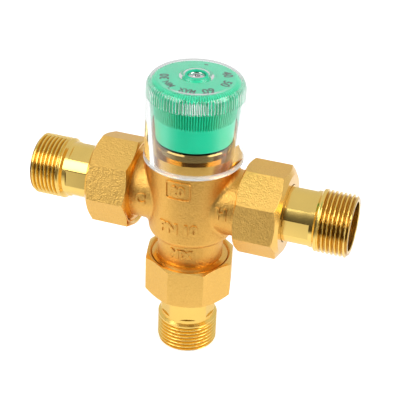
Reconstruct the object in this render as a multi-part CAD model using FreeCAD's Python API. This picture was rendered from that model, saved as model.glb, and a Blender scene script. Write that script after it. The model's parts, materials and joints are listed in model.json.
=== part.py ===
import FreeCAD, Part
import math
import os

# A T-pattern thermostatic mixing valve for G3/4 pipework, with union tails on its three
# ports.  Lengths are in millimetres.  Z is up and starts at the outlet tail's end, the hot
# arm points along +X and the cold arm along -X.  Radial profiles are (radius, height).

os.makedirs("parts", exist_ok=True)

# Clearances
SLIDING_GAP = 0.06             # running fit of a shaft or piston in its bore
LOOSE_GAP = 0.3                # between pieces that pass each other freely
THREAD_GAP = 0.08              # between a plain-modelled male thread and its female
SEAL_GAP = 0.02                # between a sealing ring and the groove or bore round it

# Pipe threads, modelled plain at the major diameter (G3/4 and G1)
PIPE_MAJOR_R = 13.2205
PIPE_MINOR_R = 12.0585
PIPE_THREAD_LENGTH = 13.8
UNION_MAJOR_R = 16.6245
UNION_MINOR_R = 15.1455

# Tail pieces
TAIL_BORE_R = 10.4
TAIL_NECK_R = 11.98
TAIL_VISIBLE_LENGTH = 27.6     # from the nut's outer face to the tail's end
TAIL_CHAMFER = 1.1
TAIL_RUNOUT = 0.9
TAIL_FLANGE_GAP = 0.6          # between the tail's flange and the nut's thread
TAIL_FLANGE_R = UNION_MAJOR_R + THREAD_GAP - TAIL_FLANGE_GAP
TAIL_FLANGE_THICKNESS = 3.0
TAIL_FLATS_ACROSS = 22.8
TAIL_FLATS_START = 16.4        # from the tail's end
TAIL_FLAT_COUNT = 6

# Union nuts
NUT_LENGTH = 19.0
NUT_ACROSS_FLATS = 37.0
NUT_SIDES = 8
NUT_END_WALL = 5.5
NUT_INNER_CHAMFER_R = NUT_ACROSS_FLATS / 2 - 0.1
NUT_OUTER_CHAMFER_R = NUT_ACROSS_FLATS / 2 - 1.9
NUT_OUTER_CHAMFER_DEPTH = 2.2
NUT_INNER_CHAMFER_DEPTH = 1.0
NUT_MOUTH_R = UNION_MAJOR_R + 1.0
NUT_MOUTH_DEPTH = 1.0

# Sealing washers in the unions
WASHER_THICKNESS = 2.0
WASHER_HOLE_R = TAIL_BORE_R + 0.2
WASHER_R = UNION_MINOR_R - 0.15

# Where the three ports end, measured from the barrel axis or the arm axis
SIDE_FACE = 31.9
OUTLET_FACE = 37.4
UNION_STACK = WASHER_THICKNESS + TAIL_FLANGE_THICKNESS + NUT_END_WALL + TAIL_VISIBLE_LENGTH
RUN_HALF_LENGTH = SIDE_FACE + UNION_STACK
AXIS_HEIGHT = OUTLET_FACE + UNION_STACK

# Cast body, with heights from the arm axis
BODY_TOP = 23.4                # the machined top face
BARREL_TOP_R = 19.0
BARREL_LEDGE_R = BARREL_TOP_R + 0.45
BARREL_LEDGE_Z = 18.0
BARREL_LOW_R = BARREL_TOP_R - 0.7
BARREL_LOW_Z = -14.4
BOWL_RADIUS = 3.4              # rounding from the barrel into the outlet neck
BOWL_END_ANGLE = 80.0
BOWL_STEP = 0.2
ARM_R = 14.15
ARM_FILLET = 2.2
COLLAR_LENGTH = 8.9            # threaded length of a port, with its chamfers
COLLAR_CHAMFER = 1.0
COLLAR_ROOT_R = ARM_R + 0.75

# Chambers inside the body: cold water enters the upper one, hot water the lower one
BONNET_BORE_R = BARREL_TOP_R - 3.5
BONNET_SHOULDER_Z = BODY_TOP - 10.5
CHAMBER_R = BONNET_BORE_R - 1.0
LAND_HALF_HEIGHT = 2.5
SHUTTLE_BORE_R = 11.0
HOT_SEAT_Z = -12.1
OUTLET_BORE_R = 9.6
OUTLET_LEDGE_Z = -24.0
OUTLET_THROAT_R = 8.8
CARTRIDGE_BORE_R = 11.0
CHECK_LENGTH = 12.5
STRAINER_RIM = 2.0
CARTRIDGE_FLOOR = SIDE_FACE - CHECK_LENGTH - STRAINER_RIM     # the arm's counterbore floor
PASSAGE_HALF_WIDTH = 5.5
PASSAGE_LOW = 3.0
PASSAGE_HIGH = 9.3

# Bonnet
BONNET_THREAD_BOTTOM = BONNET_SHOULDER_Z + 0.5
BONNET_FLANGE_R = BARREL_TOP_R - 1.25
BONNET_FLANGE_TOP = BODY_TOP + 4.0
BONNET_NECK_R = BONNET_BORE_R - 2.5
BONNET_NECK_TOP = BONNET_FLANGE_TOP + 3.6
BONNET_BOSS_R = 7.6
BONNET_BOSS_TOP = BONNET_NECK_TOP + 4.5
BONNET_ROOF_Z = BODY_TOP + 0.8
COLD_SEAT_Z = 8.0
COLD_SEAT_R = 10.9
SLEEVE_BORE_R = 8.7
BONNET_RING_Z = BONNET_THREAD_BOTTOM + 1.6
BONNET_RING_SECTION = 0.9

# Spindle, knob and screw
SPINDLE_R = 4.0
SPINDLE_FLATS_ACROSS = 6.6
SPINDLE_COLLAR_R = 6.8
SPINDLE_COLLAR_THICKNESS = 1.6
SPINDLE_RING_Z = (BONNET_ROOF_Z + BONNET_BOSS_TOP) / 2
SPINDLE_RING_SECTION = 0.8
SPINDLE_SCREW_R = 2.95
SPINDLE_TIP_Z = BONNET_ROOF_Z - 8.7
THRUST_WASHER_THICKNESS = 0.8
KNOB_BOTTOM = BONNET_FLANGE_TOP + 0.8
KNOB_SKIRT_R = BARREL_TOP_R - 1.6
KNOB_TOP = KNOB_BOTTOM + 25.1
KNOB_EDGE_RADIUS = 3.0
KNOB_RIB_START = KNOB_BOTTOM + 10.2
KNOB_RIB_TOP = KNOB_TOP - KNOB_EDGE_RADIUS
KNOB_RIB_TOP_R = KNOB_SKIRT_R + 0.95
KNOB_WALL = 1.7
KNOB_ROOF = 2.2
KNOB_RIB_COUNT = 80
KNOB_GROOVE_R = 0.42
KNOB_HUB_R = SPINDLE_R + 2.2
KNOB_HUB_BOTTOM = BONNET_BOSS_TOP + 1.7
SCREW_HEAD_R = 3.4
KNOB_BOSS_HOLE_R = SCREW_HEAD_R + 0.35
KNOB_BOSS_R = KNOB_BOSS_HOLE_R + 1.0
KNOB_BOSS_TOP = KNOB_TOP + 2.3
KNOB_RECESS_FLOOR = KNOB_TOP - 1.5
SPINDLE_TOP = KNOB_RECESS_FLOOR - 3.4
SPINDLE_FLATS_FROM = KNOB_HUB_BOTTOM
SCREW_HEAD_HEIGHT = 2.3
SCREW_SHANK_R = 2.0
SCREW_LENGTH = 9.0
SCREW_SOCKET_ACROSS = 2.5
SCREW_SOCKET_DEPTH = 1.4

# Clear cap
CAP_ROOF = 1.3
CAP_TOP = KNOB_TOP + LOOSE_GAP + CAP_ROOF
CAP_EDGE_RADIUS = 5.0
CAP_WALL = 1.3
CAP_LOW_R = BARREL_TOP_R + LOOSE_GAP + CAP_WALL
CAP_BEAD_R = CAP_LOW_R + 0.35
CAP_BEAD_HEIGHT = 1.6
CAP_BAND_Z = KNOB_TOP - 6.8
CAP_BAND_BORE_R = KNOB_RIB_TOP_R + 0.55
CAP_TOP_R = CAP_BAND_BORE_R + 1.5
CAP_TOOTH_R = 0.3
CAP_HOLE_R = KNOB_BOSS_R + 0.4
CAP_RIM_R = CAP_HOLE_R + 1.65
CAP_RIM_HEIGHT = 0.8

WIRE_SIDES = 8                 # facets round a spring's wire

# Adjusting sleeve with its overload spring and push rod
SLEEVE_R = SLEEVE_BORE_R - LOOSE_GAP
SLEEVE_TOP = BONNET_ROOF_Z - 3.2
SLEEVE_BOTTOM = SLEEVE_TOP - 10.6
SLEEVE_ROOF_Z = SLEEVE_TOP - 3.4
SPRING_POCKET_R = 5.8
RETAINER_THICKNESS = 0.8
RETAINER_HOLE_R = 3.2
RETAINER_GAP = 2.0
PLUNGER_R = SPRING_POCKET_R - 0.4
PLUNGER_FLANGE = 1.0
PLUNGER_NOSE_R = RETAINER_HOLE_R - LOOSE_GAP
PLUNGER_NOSE_Z = SLEEVE_BOTTOM - 0.6
ROD_R = 1.5
ROD_BOTTOM = PLUNGER_NOSE_Z - 8.2
KEY_HALF_WIDTH = 1.5
KEY_DEPTH = 1.2
KEY_LENGTH = 4.0
OVERLOAD_WIRE_R = 0.5
OVERLOAD_COIL_R = 4.4
OVERLOAD_TURNS = 4

# Shuttle and wax element
SHUTTLE_TRAVEL = 0.4           # to the cold seat above and to the hot seat below
SHUTTLE_TOP = COLD_SEAT_Z - SHUTTLE_TRAVEL
SHUTTLE_BOTTOM = HOT_SEAT_Z + SHUTTLE_TRAVEL
SHUTTLE_INSIDE_R = SHUTTLE_BORE_R - 1.8
SHUTTLE_HUB_R = 6.8
SHUTTLE_HUB_HALF = 2.0
SHUTTLE_SPOKES = 3
SHUTTLE_SPOKE_WIDTH = 2.4
SHUTTLE_RING_SECTION = 0.45
ELEMENT_THREAD_R = 5.0
ELEMENT_FLANGE_R = 6.2
ELEMENT_FLANGE_TOP = 4.0
ELEMENT_GUIDE_R = 3.0
ELEMENT_GUIDE_TOP = 6.4
ELEMENT_BULB_R = 4.4
ELEMENT_BULB_BOTTOM = -18.0
ELEMENT_BORE_BOTTOM = -2.0

# Return spring and the guide it stands on
RETURN_COIL_R = 5.9
RETURN_WIRE_R = 0.5
RETURN_TURNS = 7
GUIDE_THICKNESS = 1.6
GUIDE_RING_R = RETURN_COIL_R + 0.9
GUIDE_HOLE_R = ELEMENT_BULB_R + 0.5

# Check-valve cartridges, with distances from the barrel axis
CHECK_INSIDE_R = CARTRIDGE_BORE_R - 1.8
CHECK_SEAT_HOLE_R = 6.2
CHECK_SEAT_THICKNESS = 1.5
CHECK_SPIDER_AT = CARTRIDGE_FLOOR + 3.6
CHECK_SPIDER_THICKNESS = 1.6
CHECK_HUB_R = 2.9
CHECK_SPOKE_WIDTH = 1.8
POPPET_R = 7.4
POPPET_THICKNESS = 1.4
POPPET_STEM_R = 1.5
POPPET_GAP = 0.1
CHECK_COIL_R = 3.7
CHECK_WIRE_R = 0.35
CHECK_TURNS = 3
STRAINER_BASKET_R = TAIL_BORE_R - 1.4
STRAINER_WALL = 0.6
STRAINER_DEPTH = 11.0
STRAINER_SLOTS = 12
STRAINER_SLOT_WIDTH = 2.6
STRAINER_ROWS = 3

Z_AXIS = FreeCAD.Vector(0, 0, 1)
ORIGIN = FreeCAD.Vector(0, 0, 0)


def revolved(outline):
    """A solid of revolution about Z.  The outline's corners are (radius, height), and an
    entry ("arc", middle, end) is an arc from the last corner through middle to end."""
    edges = []
    start = last = FreeCAD.Vector(outline[0][0], 0, outline[0][1])
    for entry in outline[1:] + [outline[0]]:
        if entry[0] == "arc":
            middle = FreeCAD.Vector(entry[1][0], 0, entry[1][1])
            end = FreeCAD.Vector(entry[2][0], 0, entry[2][1])
            edges.append(Part.Arc(last, middle, end).toShape())
        else:
            end = FreeCAD.Vector(entry[0], 0, entry[1])
            if end.distanceToPoint(last) < 1e-6:
                continue
            edges.append(Part.LineSegment(last, end).toShape())
        last = end
    return Part.Face(Part.Wire(edges)).revolve(ORIGIN, Z_AXIS, 360)


def tube(outer_r, inner_r, low, high):
    """A plain ring or sleeve about Z."""
    return revolved([(inner_r, low), (outer_r, low), (outer_r, high), (inner_r, high)])


def disc(radius, low, high):
    """A solid cylinder about Z."""
    return Part.makeCylinder(radius, high - low, FreeCAD.Vector(0, 0, low), Z_AXIS)


def block(half_width_x, half_width_y, low, high):
    """A box centred on Z."""
    corner = FreeCAD.Vector(-half_width_x, -half_width_y, low)
    return Part.makeBox(2 * half_width_x, 2 * half_width_y, high - low, corner)


def ring_of_section(centre_r, section_r, height):
    """An O-ring about Z."""
    return Part.makeTorus(centre_r, section_r, FreeCAD.Vector(0, 0, height), Z_AXIS)


def turned(shape, degrees):
    """A copy turned about Z."""
    copy = shape.copy()
    copy.rotate(ORIGIN, Z_AXIS, degrees)
    return copy


def prism(sides, across_flats, low, high, degrees=0.0):
    """A regular prism about Z, with one corner at the given angle."""
    corner_r = across_flats / 2 / math.cos(math.pi / sides)
    corners = []
    for k in range(sides + 1):
        angle = math.radians(degrees) + 2 * math.pi * k / sides
        corners.append(FreeCAD.Vector(corner_r * math.cos(angle), corner_r * math.sin(angle), low))
    face = Part.Face(Part.makePolygon(corners))
    return face.extrude(FreeCAD.Vector(0, 0, high - low))


def spokes(count, width, reach, low, high):
    """Straight arms from the axis outwards."""
    arms = []
    for k in range(count):
        corner = FreeCAD.Vector(0, -width / 2, low)
        arm = Part.makeBox(reach, width, high - low, corner)
        arms.append(turned(arm, 360.0 * k / count))
    return arms[0].multiFuse(arms[1:])


def coil_spring(coil_r, wire_r, turns, low, high):
    """A helical spring about Z between two faces, its wire an octagon inside the round one."""
    rise = high - low - 2 * wire_r
    path = Part.makeHelix(rise / turns, rise, coil_r)
    corners = []
    for k in range(WIRE_SIDES + 1):
        angle = 2 * math.pi * (k + 0.5) / WIRE_SIDES
        across = coil_r + wire_r / math.cos(math.pi / WIRE_SIDES) * math.cos(angle)
        corners.append(FreeCAD.Vector(across, 0, wire_r / math.cos(math.pi / WIRE_SIDES) * math.sin(angle)))
    section = Part.Wire(Part.makePolygon(corners))
    spring = Part.Wire(path).makePipeShell([section], True, True)
    spring.translate(FreeCAD.Vector(0, 0, low + wire_r))
    return spring


def lifted(shape):
    """From heights above the arm axis to heights above the outlet tail's end."""
    copy = shape.copy()
    copy.translate(FreeCAD.Vector(0, 0, AXIS_HEIGHT))
    return copy


def at_port(shape, port):
    """From a shape about Z, whose height is its distance from the barrel axis, to a port."""
    copy = shape.copy()
    if port == "hot":
        copy.rotate(ORIGIN, FreeCAD.Vector(0, 1, 0), 90)
    elif port == "cold":
        copy.rotate(ORIGIN, FreeCAD.Vector(0, 1, 0), -90)
    else:
        copy.rotate(ORIGIN, FreeCAD.Vector(1, 0, 0), 180)
    return lifted(copy)


def save(shape, node):
    """One STEP file for each node."""
    shape.exportStep("parts/" + node + ".step")


# Where each port's pieces lie, counted outwards from the barrel axis
TAIL_END = {"hot": RUN_HALF_LENGTH, "cold": RUN_HALF_LENGTH, "mixed": AXIS_HEIGHT}
NUT_TURN = {"hot": 16.0, "cold": 42.0, "mixed": 9.0}
FLATS_TURN = {"hot": 30.0, "cold": 37.5, "mixed": 11.0}


def nut_outer_face(port):
    return TAIL_END[port] - TAIL_VISIBLE_LENGTH


def nut_shoulder(port):
    return nut_outer_face(port) - NUT_END_WALL


def port_face(port):
    return nut_shoulder(port) - TAIL_FLANGE_THICKNESS - WASHER_THICKNESS


def body_outside():
    """Barrel, two arms and outlet neck, with the threaded collars."""
    taper = math.atan2(BARREL_LEDGE_R - BARREL_LOW_R, BARREL_LEDGE_Z - BARREL_LOW_Z)
    end_angle = math.radians(BOWL_END_ANGLE)
    bowl_end = bowl_point(taper, end_angle)
    barrel = lifted(revolved([
        (0, BODY_TOP),
        (BARREL_TOP_R, BODY_TOP),
        (BARREL_TOP_R, BARREL_LEDGE_Z),
        (BARREL_LEDGE_R, BARREL_LEDGE_Z),
        (BARREL_LOW_R, BARREL_LOW_Z),
        ("arc", bowl_point(taper, (taper + end_angle) / 2), bowl_end),
        (ARM_R, bowl_end[1] - BOWL_STEP),
        (0, bowl_end[1] - BOWL_STEP),
    ]))
    arms = [at_port(disc(ARM_R, 0, port_face(port) - COLLAR_LENGTH), port) for port in ("hot", "cold")]
    casting = barrel.multiFuse(arms).removeSplitter()
    casting = casting.makeFillet(ARM_FILLET, junction_edges(casting))
    necks = [at_port(port_neck(port), port) for port in TAIL_END]
    return casting.multiFuse(necks)


def bowl_point(taper, angle):
    """A point on the bowl's arc, which leaves the tapered barrel at a tangent."""
    centre_r = BARREL_LOW_R - BOWL_RADIUS * math.cos(taper)
    centre_z = BARREL_LOW_Z + BOWL_RADIUS * math.sin(taper)
    return (centre_r + BOWL_RADIUS * math.cos(angle), centre_z - BOWL_RADIUS * math.sin(angle))


def junction_edges(casting):
    """The curved edges where the arms leave the barrel."""
    found = []
    for edge in casting.Edges:
        box = edge.BoundBox
        one_side = box.XMin > 1 or box.XMax < -1
        if one_side and box.DiagonalLength > ARM_R and max(box.XMax, -box.XMin) < BARREL_LEDGE_R:
            found.append(edge)
    return found


def port_neck(port):
    """The outer end of a port: its neck and the collar for the union thread."""
    face = port_face(port)
    root = face - COLLAR_LENGTH
    return revolved([
        (0, ARM_R),
        (ARM_R, ARM_R),
        (ARM_R, root),
        (COLLAR_ROOT_R, root),
        (UNION_MAJOR_R, root + COLLAR_CHAMFER),
        (UNION_MAJOR_R, face - COLLAR_CHAMFER),
        (UNION_MINOR_R, face),
        (0, face),
    ])


def body_inside():
    """The chambers, bores and passages cut out of the body."""
    outlet = port_face("mixed")
    chambers = lifted(revolved([
        (0, -outlet - 1),
        (OUTLET_THROAT_R, -outlet - 1),
        (OUTLET_THROAT_R, OUTLET_LEDGE_Z),
        (OUTLET_BORE_R, OUTLET_LEDGE_Z),
        (OUTLET_BORE_R, HOT_SEAT_Z),
        (CHAMBER_R, HOT_SEAT_Z),
        (CHAMBER_R, -LAND_HALF_HEIGHT),
        (SHUTTLE_BORE_R, -LAND_HALF_HEIGHT),
        (SHUTTLE_BORE_R, LAND_HALF_HEIGHT),
        (CHAMBER_R, LAND_HALF_HEIGHT),
        (CHAMBER_R, BONNET_SHOULDER_Z),
        (BONNET_BORE_R, BONNET_SHOULDER_Z),
        (BONNET_BORE_R, BODY_TOP + 1),
        (0, BODY_TOP + 1),
    ]))
    cuts = [chambers]
    for port, side in (("hot", 1), ("cold", -1)):
        cuts.append(at_port(disc(CARTRIDGE_BORE_R, CARTRIDGE_FLOOR, port_face(port) + 1), port))
        low = AXIS_HEIGHT + (PASSAGE_LOW if port == "cold" else -PASSAGE_HIGH)
        reach = CARTRIDGE_FLOOR + COLLAR_CHAMFER - SHUTTLE_BORE_R
        start = SHUTTLE_BORE_R if side > 0 else -SHUTTLE_BORE_R - reach
        corner = FreeCAD.Vector(start, -PASSAGE_HALF_WIDTH, low)
        cuts.append(Part.makeBox(reach, 2 * PASSAGE_HALF_WIDTH, PASSAGE_HIGH - PASSAGE_LOW, corner))
    return cuts


def valve_body():
    body = body_outside()
    for cut in body_inside():
        body = body.cut(cut)
    return body.removeSplitter()


def tailpiece(port):
    """A turned tail: union flange, neck with spanner flats, and pipe thread."""
    end = TAIL_END[port]
    shoulder = nut_shoulder(port)
    turned_blank = revolved([
        (TAIL_BORE_R, shoulder - TAIL_FLANGE_THICKNESS),
        (TAIL_FLANGE_R, shoulder - TAIL_FLANGE_THICKNESS),
        (TAIL_FLANGE_R, shoulder),
        (TAIL_NECK_R, shoulder),
        (TAIL_NECK_R, end - PIPE_THREAD_LENGTH - TAIL_RUNOUT),
        (PIPE_MAJOR_R, end - PIPE_THREAD_LENGTH),
        (PIPE_MAJOR_R, end - TAIL_CHAMFER),
        (PIPE_MINOR_R, end),
        (TAIL_BORE_R, end),
    ])
    inner_end = nut_outer_face(port) + LOOSE_GAP
    keep = prism(TAIL_FLAT_COUNT, TAIL_FLATS_ACROSS, inner_end, end - TAIL_FLATS_START,
                 FLATS_TURN[port] + 180.0 / TAIL_FLAT_COUNT)
    band = tube(2 * TAIL_NECK_R, TAIL_BORE_R, inner_end, end - TAIL_FLATS_START)
    return at_port(turned_blank.cut(band.cut(keep)), port)


def union_nut(port):
    """An octagonal nut with a plain-modelled G1 thread and an end wall behind the tail's flange."""
    outer = nut_outer_face(port)
    inner = outer - NUT_LENGTH
    corner_r = NUT_ACROSS_FLATS / 2 / math.cos(math.pi / NUT_SIDES)
    blank = prism(NUT_SIDES, NUT_ACROSS_FLATS, inner, outer, NUT_TURN[port])
    turned_shape = revolved([
        (0, inner),
        (NUT_INNER_CHAMFER_R, inner),
        (corner_r + 0.01, inner + NUT_INNER_CHAMFER_DEPTH),
        (corner_r + 0.01, outer - NUT_OUTER_CHAMFER_DEPTH),
        (NUT_OUTER_CHAMFER_R, outer),
        (0, outer),
    ])
    hole = revolved([
        (0, inner - 1),
        (NUT_MOUTH_R, inner - 1),
        (NUT_MOUTH_R, inner),
        (UNION_MAJOR_R + THREAD_GAP, inner + NUT_MOUTH_DEPTH),
        (UNION_MAJOR_R + THREAD_GAP, nut_shoulder(port)),
        (TAIL_NECK_R + LOOSE_GAP, nut_shoulder(port)),
        (TAIL_NECK_R + LOOSE_GAP, outer + 1),
        (0, outer + 1),
    ])
    return at_port(blank.common(turned_shape).cut(hole), port)


def sealing_washer(port):
    face = port_face(port)
    return at_port(tube(WASHER_R, WASHER_HOLE_R, face, face + WASHER_THICKNESS), port)


def bonnet():
    """The polished screwed insert that closes the body, guides the spindle and ends in the
    cold seat."""
    thread_r = BONNET_BORE_R - THREAD_GAP
    groove_r = BONNET_BORE_R - 2 * BONNET_RING_SECTION - 2 * SEAL_GAP
    groove_half = BONNET_RING_SECTION + 0.1
    edge = 0.5
    blank = revolved([
        (SLEEVE_BORE_R, COLD_SEAT_Z),
        (COLD_SEAT_R, COLD_SEAT_Z),
        (COLD_SEAT_R, BONNET_THREAD_BOTTOM),
        (thread_r, BONNET_THREAD_BOTTOM),
        (thread_r, BONNET_RING_Z - groove_half),
        (groove_r, BONNET_RING_Z - groove_half),
        (groove_r, BONNET_RING_Z + groove_half),
        (thread_r, BONNET_RING_Z + groove_half),
        (thread_r, BODY_TOP),
        (BONNET_FLANGE_R, BODY_TOP),
        (BONNET_FLANGE_R, BONNET_FLANGE_TOP - edge),
        (BONNET_FLANGE_R - edge, BONNET_FLANGE_TOP),
        (BONNET_NECK_R, BONNET_FLANGE_TOP),
        (BONNET_NECK_R, BONNET_NECK_TOP - edge),
        (BONNET_NECK_R - edge, BONNET_NECK_TOP),
        (BONNET_BOSS_R, BONNET_NECK_TOP),
        (BONNET_BOSS_R, BONNET_BOSS_TOP),
        (SPINDLE_R + SLIDING_GAP, BONNET_BOSS_TOP),
        (SPINDLE_R + SLIDING_GAP, BONNET_ROOF_Z),
        (SLEEVE_BORE_R, BONNET_ROOF_Z),
    ])
    keyway = block(SLEEVE_R + KEY_DEPTH + LOOSE_GAP, KEY_HALF_WIDTH + LOOSE_GAP,
                   BONNET_THREAD_BOTTOM, SLEEVE_TOP + LOOSE_GAP)
    return lifted(blank.cut(keyway))


def bonnet_oring():
    centre_r = BONNET_BORE_R - BONNET_RING_SECTION - SEAL_GAP
    return lifted(ring_of_section(centre_r, BONNET_RING_SECTION - SEAL_GAP, BONNET_RING_Z))


def spindle():
    """The adjusting spindle: square-shouldered collar, drive flats on top, screw below."""
    washer_z = BONNET_ROOF_Z - THRUST_WASHER_THICKNESS
    collar_bottom = washer_z - SPINDLE_COLLAR_THICKNESS
    groove_r = SPINDLE_R + SLIDING_GAP - 2 * SPINDLE_RING_SECTION - 2 * SEAL_GAP
    groove_half = SPINDLE_RING_SECTION + 0.1
    shaft = revolved([
        (0, SPINDLE_TIP_Z),
        (SPINDLE_SCREW_R - 0.5, SPINDLE_TIP_Z),
        (SPINDLE_SCREW_R, SPINDLE_TIP_Z + 0.5),
        (SPINDLE_SCREW_R, collar_bottom),
        (SPINDLE_COLLAR_R, collar_bottom),
        (SPINDLE_COLLAR_R, washer_z),
        (SPINDLE_R, washer_z),
        (SPINDLE_R, SPINDLE_RING_Z - groove_half),
        (groove_r, SPINDLE_RING_Z - groove_half),
        (groove_r, SPINDLE_RING_Z + groove_half),
        (SPINDLE_R, SPINDLE_RING_Z + groove_half),
        (SPINDLE_R, SPINDLE_TOP),
        (0, SPINDLE_TOP),
    ])
    flats = block(2 * SPINDLE_R, 2 * SPINDLE_R, SPINDLE_FLATS_FROM, SPINDLE_TOP)
    flats = flats.cut(block(2 * SPINDLE_R, SPINDLE_FLATS_ACROSS / 2, SPINDLE_FLATS_FROM, SPINDLE_TOP))
    screw_hole = disc(SCREW_SHANK_R + THREAD_GAP, screw_tip() - LOOSE_GAP, SPINDLE_TOP)
    return lifted(shaft.cut(flats).cut(screw_hole))


def screw_tip():
    return KNOB_RECESS_FLOOR - SCREW_LENGTH


def spindle_oring():
    centre_r = SPINDLE_R + SLIDING_GAP - SPINDLE_RING_SECTION - SEAL_GAP
    return lifted(ring_of_section(centre_r, SPINDLE_RING_SECTION - SEAL_GAP, SPINDLE_RING_Z))


def thrust_washer():
    low = BONNET_ROOF_Z - THRUST_WASHER_THICKNESS
    return lifted(tube(SPINDLE_COLLAR_R, SPINDLE_R + SLIDING_GAP, low, BONNET_ROOF_Z))


def knob_grooves():
    """The fine grooves between the knob's ribs, each along the flared side."""
    low = FreeCAD.Vector(KNOB_SKIRT_R, 0, KNOB_RIB_START)
    high = FreeCAD.Vector(KNOB_RIB_TOP_R, 0, KNOB_RIB_TOP)
    along = high - low
    length = along.Length * (KNOB_TOP - KNOB_RIB_START) / (KNOB_RIB_TOP - KNOB_RIB_START)
    groove = Part.makeCylinder(KNOB_GROOVE_R, length, low, along)
    return [turned(groove, 360.0 * k / KNOB_RIB_COUNT) for k in range(KNOB_RIB_COUNT)]


def temperature_knob():
    """A moulded hollow knob: plain skirt, ribbed band, flat dial and a boss round its screw."""
    round_r = KNOB_RIB_TOP_R - KNOB_EDGE_RADIUS
    slant = KNOB_EDGE_RADIUS * math.sqrt(0.5)
    inside_r = KNOB_SKIRT_R - KNOB_WALL
    shell = revolved([
        (0, KNOB_RECESS_FLOOR),
        (KNOB_BOSS_HOLE_R, KNOB_RECESS_FLOOR),
        (KNOB_BOSS_HOLE_R, KNOB_BOSS_TOP),
        (KNOB_BOSS_R, KNOB_BOSS_TOP),
        (KNOB_BOSS_R, KNOB_TOP),
        (round_r, KNOB_TOP),
        ("arc", (round_r + slant, KNOB_TOP - KNOB_EDGE_RADIUS + slant), (KNOB_RIB_TOP_R, KNOB_RIB_TOP)),
        (KNOB_SKIRT_R, KNOB_RIB_START),
        (KNOB_SKIRT_R, KNOB_BOTTOM),
        (inside_r, KNOB_BOTTOM),
        (inside_r, KNOB_TOP - KNOB_ROOF),
        (KNOB_HUB_R, KNOB_TOP - KNOB_ROOF),
        (KNOB_HUB_R, KNOB_HUB_BOTTOM),
        (0, KNOB_HUB_BOTTOM),
    ])
    grooves = knob_grooves()
    shell = shell.cut(grooves[0].multiFuse(grooves[1:]))
    socket = disc(SPINDLE_R + SLIDING_GAP, KNOB_HUB_BOTTOM, SPINDLE_TOP)
    half_across = SPINDLE_FLATS_ACROSS / 2 + SLIDING_GAP
    socket = socket.common(block(2 * SPINDLE_R, half_across, KNOB_HUB_BOTTOM, SPINDLE_TOP))
    screw_hole = disc(SCREW_SHANK_R + LOOSE_GAP, KNOB_HUB_BOTTOM, KNOB_TOP)
    return lifted(shell.cut(socket).cut(screw_hole))


def knob_screw():
    """A socket-head screw that holds the knob on the spindle."""
    head_top = KNOB_RECESS_FLOOR + SCREW_HEAD_HEIGHT
    edge = 0.4
    screw = revolved([
        (0, screw_tip()),
        (SCREW_SHANK_R - edge, screw_tip()),
        (SCREW_SHANK_R, screw_tip() + edge),
        (SCREW_SHANK_R, KNOB_RECESS_FLOOR),
        (SCREW_HEAD_R, KNOB_RECESS_FLOOR),
        (SCREW_HEAD_R, head_top - edge),
        (SCREW_HEAD_R - edge, head_top),
        (0, head_top),
    ])
    socket = prism(6, SCREW_SOCKET_ACROSS, head_top - SCREW_SOCKET_DEPTH, head_top + 1)
    return lifted(screw.cut(socket))


def clear_cap():
    """A moulded clear cover: thin skirt with a bead, thick toothed band, and a hole with a
    raised rim round the knob's boss."""
    bore_r = CAP_LOW_R - CAP_WALL
    inside_top = CAP_TOP - CAP_ROOF
    outer_centre_r = CAP_TOP_R - CAP_EDGE_RADIUS
    inner_radius = KNOB_EDGE_RADIUS + 0.2
    inner_centre_r = CAP_BAND_BORE_R - inner_radius
    outer_slant = CAP_EDGE_RADIUS * math.sqrt(0.5)
    inner_slant = inner_radius * math.sqrt(0.5)
    shell = revolved([
        (CAP_HOLE_R, inside_top),
        (CAP_HOLE_R, CAP_TOP + CAP_RIM_HEIGHT),
        (CAP_RIM_R - CAP_RIM_HEIGHT, CAP_TOP + CAP_RIM_HEIGHT),
        (CAP_RIM_R, CAP_TOP),
        (outer_centre_r, CAP_TOP),
        ("arc", (outer_centre_r + outer_slant, CAP_TOP - CAP_EDGE_RADIUS + outer_slant),
         (CAP_TOP_R, CAP_TOP - CAP_EDGE_RADIUS)),
        (CAP_LOW_R, BARREL_LEDGE_Z + CAP_BEAD_HEIGHT),
        (CAP_BEAD_R, BARREL_LEDGE_Z + 0.75 * CAP_BEAD_HEIGHT),
        (CAP_BEAD_R, BARREL_LEDGE_Z + 0.2),
        (CAP_BEAD_R - 0.2, BARREL_LEDGE_Z),
        (bore_r, BARREL_LEDGE_Z),
        (bore_r, CAP_BAND_Z),
        (CAP_BAND_BORE_R, CAP_BAND_Z),
        (CAP_BAND_BORE_R, inside_top - inner_radius),
        ("arc", (inner_centre_r + inner_slant, inside_top - inner_radius + inner_slant),
         (inner_centre_r, inside_top)),
    ])
    tooth_gap = Part.makeCylinder(CAP_TOOTH_R, inside_top - inner_radius - CAP_BAND_Z,
                                  FreeCAD.Vector(CAP_BAND_BORE_R, 0, CAP_BAND_Z), Z_AXIS)
    gaps = [turned(tooth_gap, 360.0 * k / KNOB_RIB_COUNT) for k in range(KNOB_RIB_COUNT)]
    return lifted(shell.cut(gaps[0].multiFuse(gaps[1:])))


def adjusting_sleeve():
    """The keyed nut that the spindle screws up and down, hollow for the overload spring."""
    sleeve = revolved([
        (SPINDLE_SCREW_R + SLIDING_GAP, SLEEVE_ROOF_Z),
        (SPRING_POCKET_R, SLEEVE_ROOF_Z),
        (SPRING_POCKET_R, SLEEVE_BOTTOM),
        (SLEEVE_R, SLEEVE_BOTTOM),
        (SLEEVE_R, SLEEVE_TOP),
        (SPINDLE_SCREW_R + SLIDING_GAP, SLEEVE_TOP),
    ])
    keys = block(SLEEVE_R + KEY_DEPTH, KEY_HALF_WIDTH, SLEEVE_TOP - KEY_LENGTH, SLEEVE_TOP)
    keys = keys.cut(disc(SLEEVE_R - KEY_DEPTH, SLEEVE_TOP - KEY_LENGTH, SLEEVE_TOP))
    return lifted(sleeve.fuse(keys).removeSplitter())


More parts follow.
